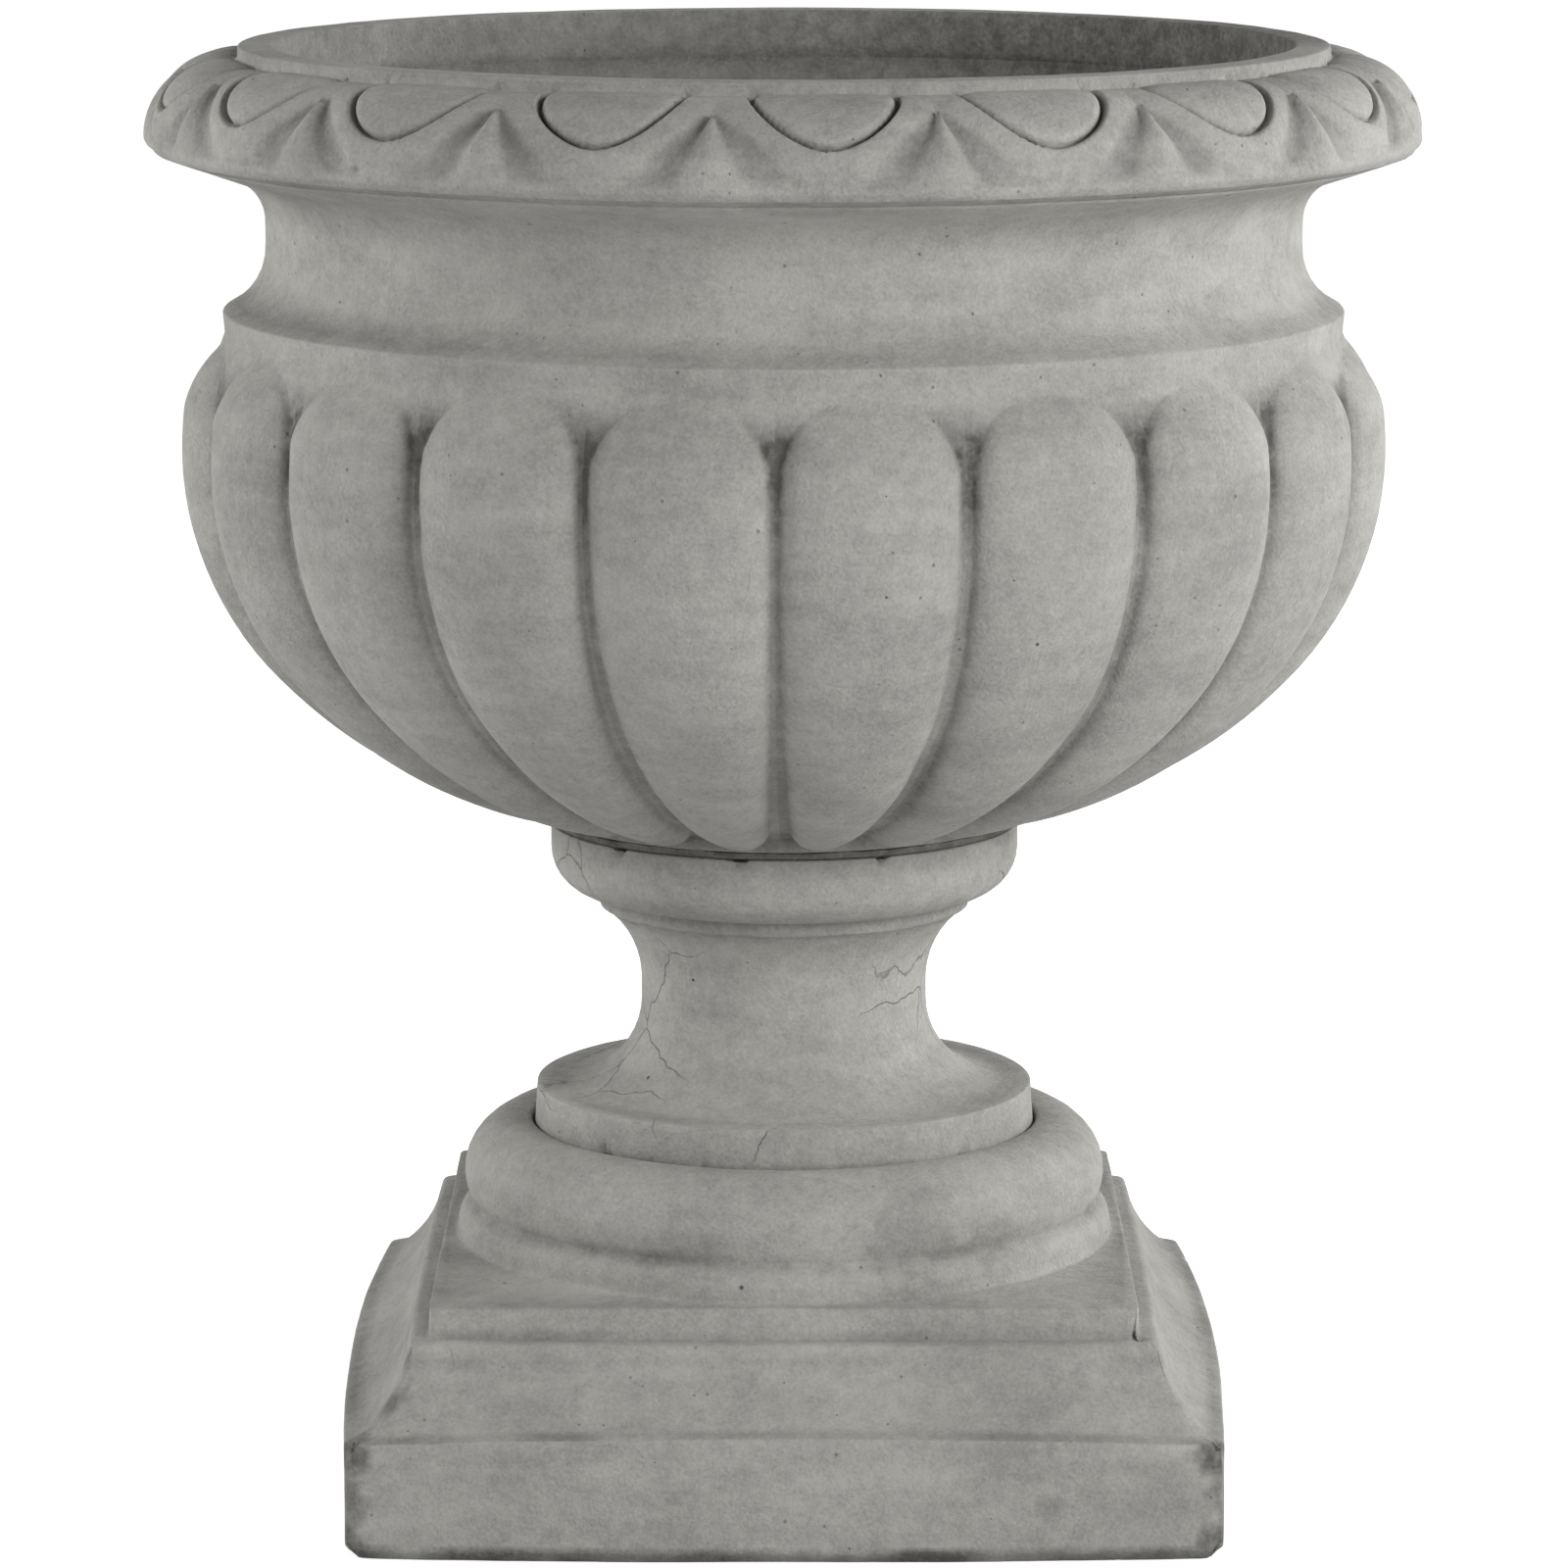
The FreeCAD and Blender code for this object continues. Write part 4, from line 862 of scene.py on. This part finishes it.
def place(tree, group, values=None, links=None):
    node = tree.nodes.new("ShaderNodeGroup")
    node.node_tree = group
    for key, value in (values or {}).items():
        node.inputs[key].default_value = value
    for key, socket in (links or {}).items():
        tree.links.new(socket, node.inputs[key])
    return node


def newMaterial(name):
    material = bpy.data.materials.new(name)
    material.use_nodes = True
    tree = material.node_tree
    tree.nodes.clear()
    shader = tree.nodes.new("ShaderNodeBsdfPrincipled")
    output = tree.nodes.new("ShaderNodeOutputMaterial")
    tree.links.new(shader.outputs["BSDF"], output.inputs["Surface"])
    vector = tree.nodes.new("ShaderNodeTexCoord").outputs["Object"]
    return material, tree, shader, vector


def bumpFrom(tree, height, strength, distance, normal=None):
    links = {"Height": height}
    if normal is not None:
        links["Normal"] = normal
    return addNode(tree, "Bump", {"Strength": strength, "Distance": distance},
                   links).outputs["Normal"]


castStoneLook = {
    "pale": (0.470, 0.463, 0.437, 1), "deep": (0.315, 0.310, 0.292, 1),
    "dirtAndShade": (0.075, 0.071, 0.064, 1), "hole": (0.085, 0.082, 0.075, 1),
    "cloudScale": 14.0, "sandScale": 560.0, "grainBump": 1.0, "holeShare": 0.2,
    "crackKept": 0.78,
}


def castStone(name, look):
    material, tree, shader, vector = newMaterial(name)
    grain = place(tree, stoneGrain, {"Cloud Scale": look["cloudScale"],
                                     "Sand Scale": look["sandScale"]}, {"Vector": vector})
    holes = place(tree, pinholes, {"Scale": 46.0, "Size": 0.045, "Share": look["holeShare"]},
                  {"Vector": vector})
    specks = place(tree, pinholes, {"Scale": 170.0, "Size": 0.12, "Share": 0.12},
                   {"Vector": vector})
    cracks = place(tree, hairCracks, {"Scale": 16.0, "Width": 0.007, "Kept": look["crackKept"]},
                   {"Vector": vector}).outputs["Mask"]
    # the soil attribute carries dirt, and painted shade on some castings
    soilAndShade = addNode(tree, "Attribute", attribute_name="soilAndShade").outputs["Fac"]
    dirtAndShade = place(tree, grimeAndShade, {"Amount": 0.85}, {"Vector": vector, "Soil And Shade": soilAndShade}).outputs["Mask"]
    colour = mixColour(tree, grain.outputs["Tone"], look["deep"], look["pale"])
    colour = mixColour(tree, calc(tree, "MULTIPLY", specks.outputs["Mask"], 0.4), colour,
                       look["hole"])
    colour = mixColour(tree, calc(tree, "MULTIPLY", cracks, 0.6), colour, look["hole"])
    # the darkest colour, laid where the soil attribute carries dirt and painted shade
    colour = mixColour(tree, dirtAndShade, colour, look["dirtAndShade"])
    colour = mixColour(tree, calc(tree, "MULTIPLY", holes.outputs["Mask"], 0.85), colour,
                       look["hole"])
    tree.links.new(colour, shader.inputs["Base Color"])
    tree.links.new(span(tree, grain.outputs["Tone"], 0, 1, 0.97, 0.86),
                   shader.inputs["Roughness"])
    shader.inputs["Specular IOR Level"].default_value = 0.25
    pressed = calc(tree, "MULTIPLY_ADD", cracks, 0.5, calc(tree, "MULTIPLY",
                                                           specks.outputs["Mask"], 0.7))
    height = calc(tree, "SUBTRACT", grain.outputs["Height"], pressed)
    normal = bumpFrom(tree, height, look["grainBump"], 0.0010)
    normal = bumpFrom(tree, calc(tree, "SUBTRACT", 1.0, holes.outputs["Mask"]), 1.0, 0.0015,
                      normal)
    tree.links.new(normal, shader.inputs["Normal"])
    return material


stoneMaterial = castStone("castStone", castStoneLook)
mortarMaterial = castStone("beddingMortar", {**castStoneLook, "pale": (0.30, 0.29, 0.27, 1),
                                             "deep": (0.17, 0.163, 0.148, 1), "grainBump": 0.9})
stemMaterial = castStone("stemStone", {**castStoneLook, "crackKept": 0.5, "holeShare": 0.3})
for piece in (bowlBodyMesh, bowlRimMesh, plinthMesh):
    piece.data.materials.append(stoneMaterial)
stemMesh.data.materials.append(stemMaterial)
for piece in (footBed, bowlBed):
    piece.data.materials.append(mortarMaterial)


fixingLook = {
    "steel": ((0.52, 0.52, 0.51, 1), (0.66, 0.66, 0.65, 1)), "steelRough": (0.30, 0.48),
    "rubber": ((0.022, 0.022, 0.022, 1), (0.045, 0.044, 0.043, 1)), "rubberRough": (0.72, 0.9),
}


def steel(name, look, stretch):
    material, tree, shader, vector = newMaterial(name)
    lines = place(tree, brushed, {"Stretch": stretch}, {"Vector": vector}).outputs["Tone"]
    smear = noiseAt(tree, vector, 80.0, 3.0)
    tone = calc(tree, "MULTIPLY_ADD", smear, 0.5, calc(tree, "MULTIPLY", lines, 0.5))
    tree.links.new(mixColour(tree, span(tree, tone, 0.35, 0.65), *look["steel"]),
                   shader.inputs["Base Color"])
    shader.inputs["Metallic"].default_value = 1.0
    tree.links.new(span(tree, tone, 0.35, 0.65, *look["steelRough"]), shader.inputs["Roughness"])
    tree.links.new(bumpFrom(tree, lines, 0.12, 0.0001), shader.inputs["Normal"])
    return material


def rubber(name, look):
    material, tree, shader, vector = newMaterial(name)
    dust = noiseAt(tree, vector, 160.0, 4.0, 0.6)
    tree.links.new(mixColour(tree, span(tree, dust, 0.35, 0.65), *look["rubber"]),
                   shader.inputs["Base Color"])
    tree.links.new(span(tree, dust, 0.35, 0.65, *look["rubberRough"]), shader.inputs["Roughness"])
    tree.links.new(bumpFrom(tree, noiseAt(tree, vector, 1500.0), 0.2, 0.0002),
                   shader.inputs["Normal"])
    return material


def cover(thing, material):
    thing.data.materials.clear()
    thing.data.materials.append(material)


barSteel = steel("rolledSteel", fixingLook, (0.03, 1.0, 1.0))
turnedSteel = steel("turnedSteel", fixingLook, (0.25, 0.25, 1.0))
padRubber = rubber("padRubber", fixingLook)
for end in ("bowl", "plinth"):
    cover(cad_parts[end + "_bridge_bar"], barSteel)
    cover(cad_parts[end + "_washer"], turnedSteel)
    cover(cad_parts[end + "_nut"], turnedSteel)
    cover(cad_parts[end + "_bridge_pads"], padRubber)
cover(rodMesh, turnedSteel)


# floor, light and camera

studio = {
    "floor": 3.0, "floorColour": (0.82, 0.82, 0.82, 1), "floorLift": 0.7,
    "world": 0.06, "cameraRise": 9.923, "cameraAway": 3.3552, "target": 0.3252, "lens": 161.77,
    # lamps: place, target, width, power
    "lamps": {"key": ((2.19, -1.83, 1.33), (0, 0, 0.4), 1.6, 60.0),
              "backRight": ((2.47, 1.43, 1.33), (0, 0, 0.4), 1.6, 44.0),
              "left": ((-2.19, -1.83, 1.33), (0, 0, 0.4), 1.6, 22.0),
              "backLeft": ((-2.76, 0.40, 1.33), (0, 0, 0.4), 1.6, 36.0)},
}


def studioFloor(size):
    mesh = bpy.data.meshes.new("floor")
    half = size["floor"]
    mesh.from_pydata([(-half, -half, 0), (half, -half, 0), (half, half * 4, 0),
                      (-half, half * 4, 0)], [], [(0, 1, 2, 3)])
    floor = bpy.data.objects.new("floor", mesh)
    bpy.context.scene.collection.objects.link(floor)
    material = bpy.data.materials.new("floorWhite")
    material.use_nodes = True
    tree = material.node_tree
    tree.nodes.clear()
    output = tree.nodes.new("ShaderNodeOutputMaterial")
    matt = addNode(tree, "BsdfDiffuse", {"Color": size["floorColour"]})
    rays = tree.nodes.new("ShaderNodeLightPath")
    spot = tree.nodes.new("ShaderNodeTexCoord").outputs["Object"]
    away = addNode(tree, "VectorMath", links={0: spot}, operation="LENGTH").outputs["Value"]
    seen = calc(tree, "MULTIPLY", calc(tree, "MAXIMUM", rays.outputs["Is Camera Ray"],
                                       rays.outputs["Is Glossy Ray"]),
                span(tree, away, 0.4, 1.6, size["floorLift"], 1.0))
    glow = addNode(tree, "Emission", {"Color": (1, 1, 1, 1)}, {"Strength": seen})
    both = tree.nodes.new("ShaderNodeAddShader")
    tree.links.new(matt.outputs["BSDF"], both.inputs[0])
    tree.links.new(glow.outputs["Emission"], both.inputs[1])
    tree.links.new(both.outputs["Shader"], output.inputs["Surface"])
    mesh.materials.append(material)


def studioWorld(size):
    world = bpy.data.worlds.new("studio")
    bpy.context.scene.world = world
    world.use_nodes = True
    tree = world.node_tree
    tree.nodes.clear()
    output = tree.nodes.new("ShaderNodeOutputWorld")
    rays = tree.nodes.new("ShaderNodeLightPath")
    seen = calc(tree, "MAXIMUM", rays.outputs["Is Camera Ray"], rays.outputs["Is Glossy Ray"])
    strength = calc(tree, "ADD", calc(tree, "MULTIPLY", seen, 1.0 - size["world"]), size["world"])
    sky = addNode(tree, "Background", {"Color": (1, 1, 1, 1)}, {"Strength": strength})
    tree.links.new(sky.outputs["Background"], output.inputs["Surface"])


def aimed(thing, place, target):
    thing.location = place
    thing.rotation_euler = (Vector(target) - Vector(place)).to_track_quat("-Z", "Y").to_euler()
    bpy.context.scene.collection.objects.link(thing)


def studioLamp(name, spec):
    lamp = bpy.data.lights.new(name, "AREA")
    lamp.shape = "DISK"
    lamp.size, lamp.energy = spec[2], spec[3]
    aimed(bpy.data.objects.new(name, lamp), spec[0], spec[1])


studioFloor(studio)
studioWorld(studio)
for lampName, spec in studio["lamps"].items():
    studioLamp(lampName + "Lamp", spec)

camera = bpy.data.objects.new("camera", bpy.data.cameras.new("camera"))
camera.data.lens, camera.data.sensor_width = studio["lens"], 36
tilt = radians(studio["cameraRise"])
camera.location = (0, -studio["cameraAway"] * np.cos(tilt),
                   studio["target"] + studio["cameraAway"] * np.sin(tilt))
camera.rotation_euler = (np.pi / 2 - tilt, 0, 0)
bpy.context.scene.collection.objects.link(camera)
bpy.context.scene.camera = camera
bpy.context.scene.view_settings.view_transform = "Standard"
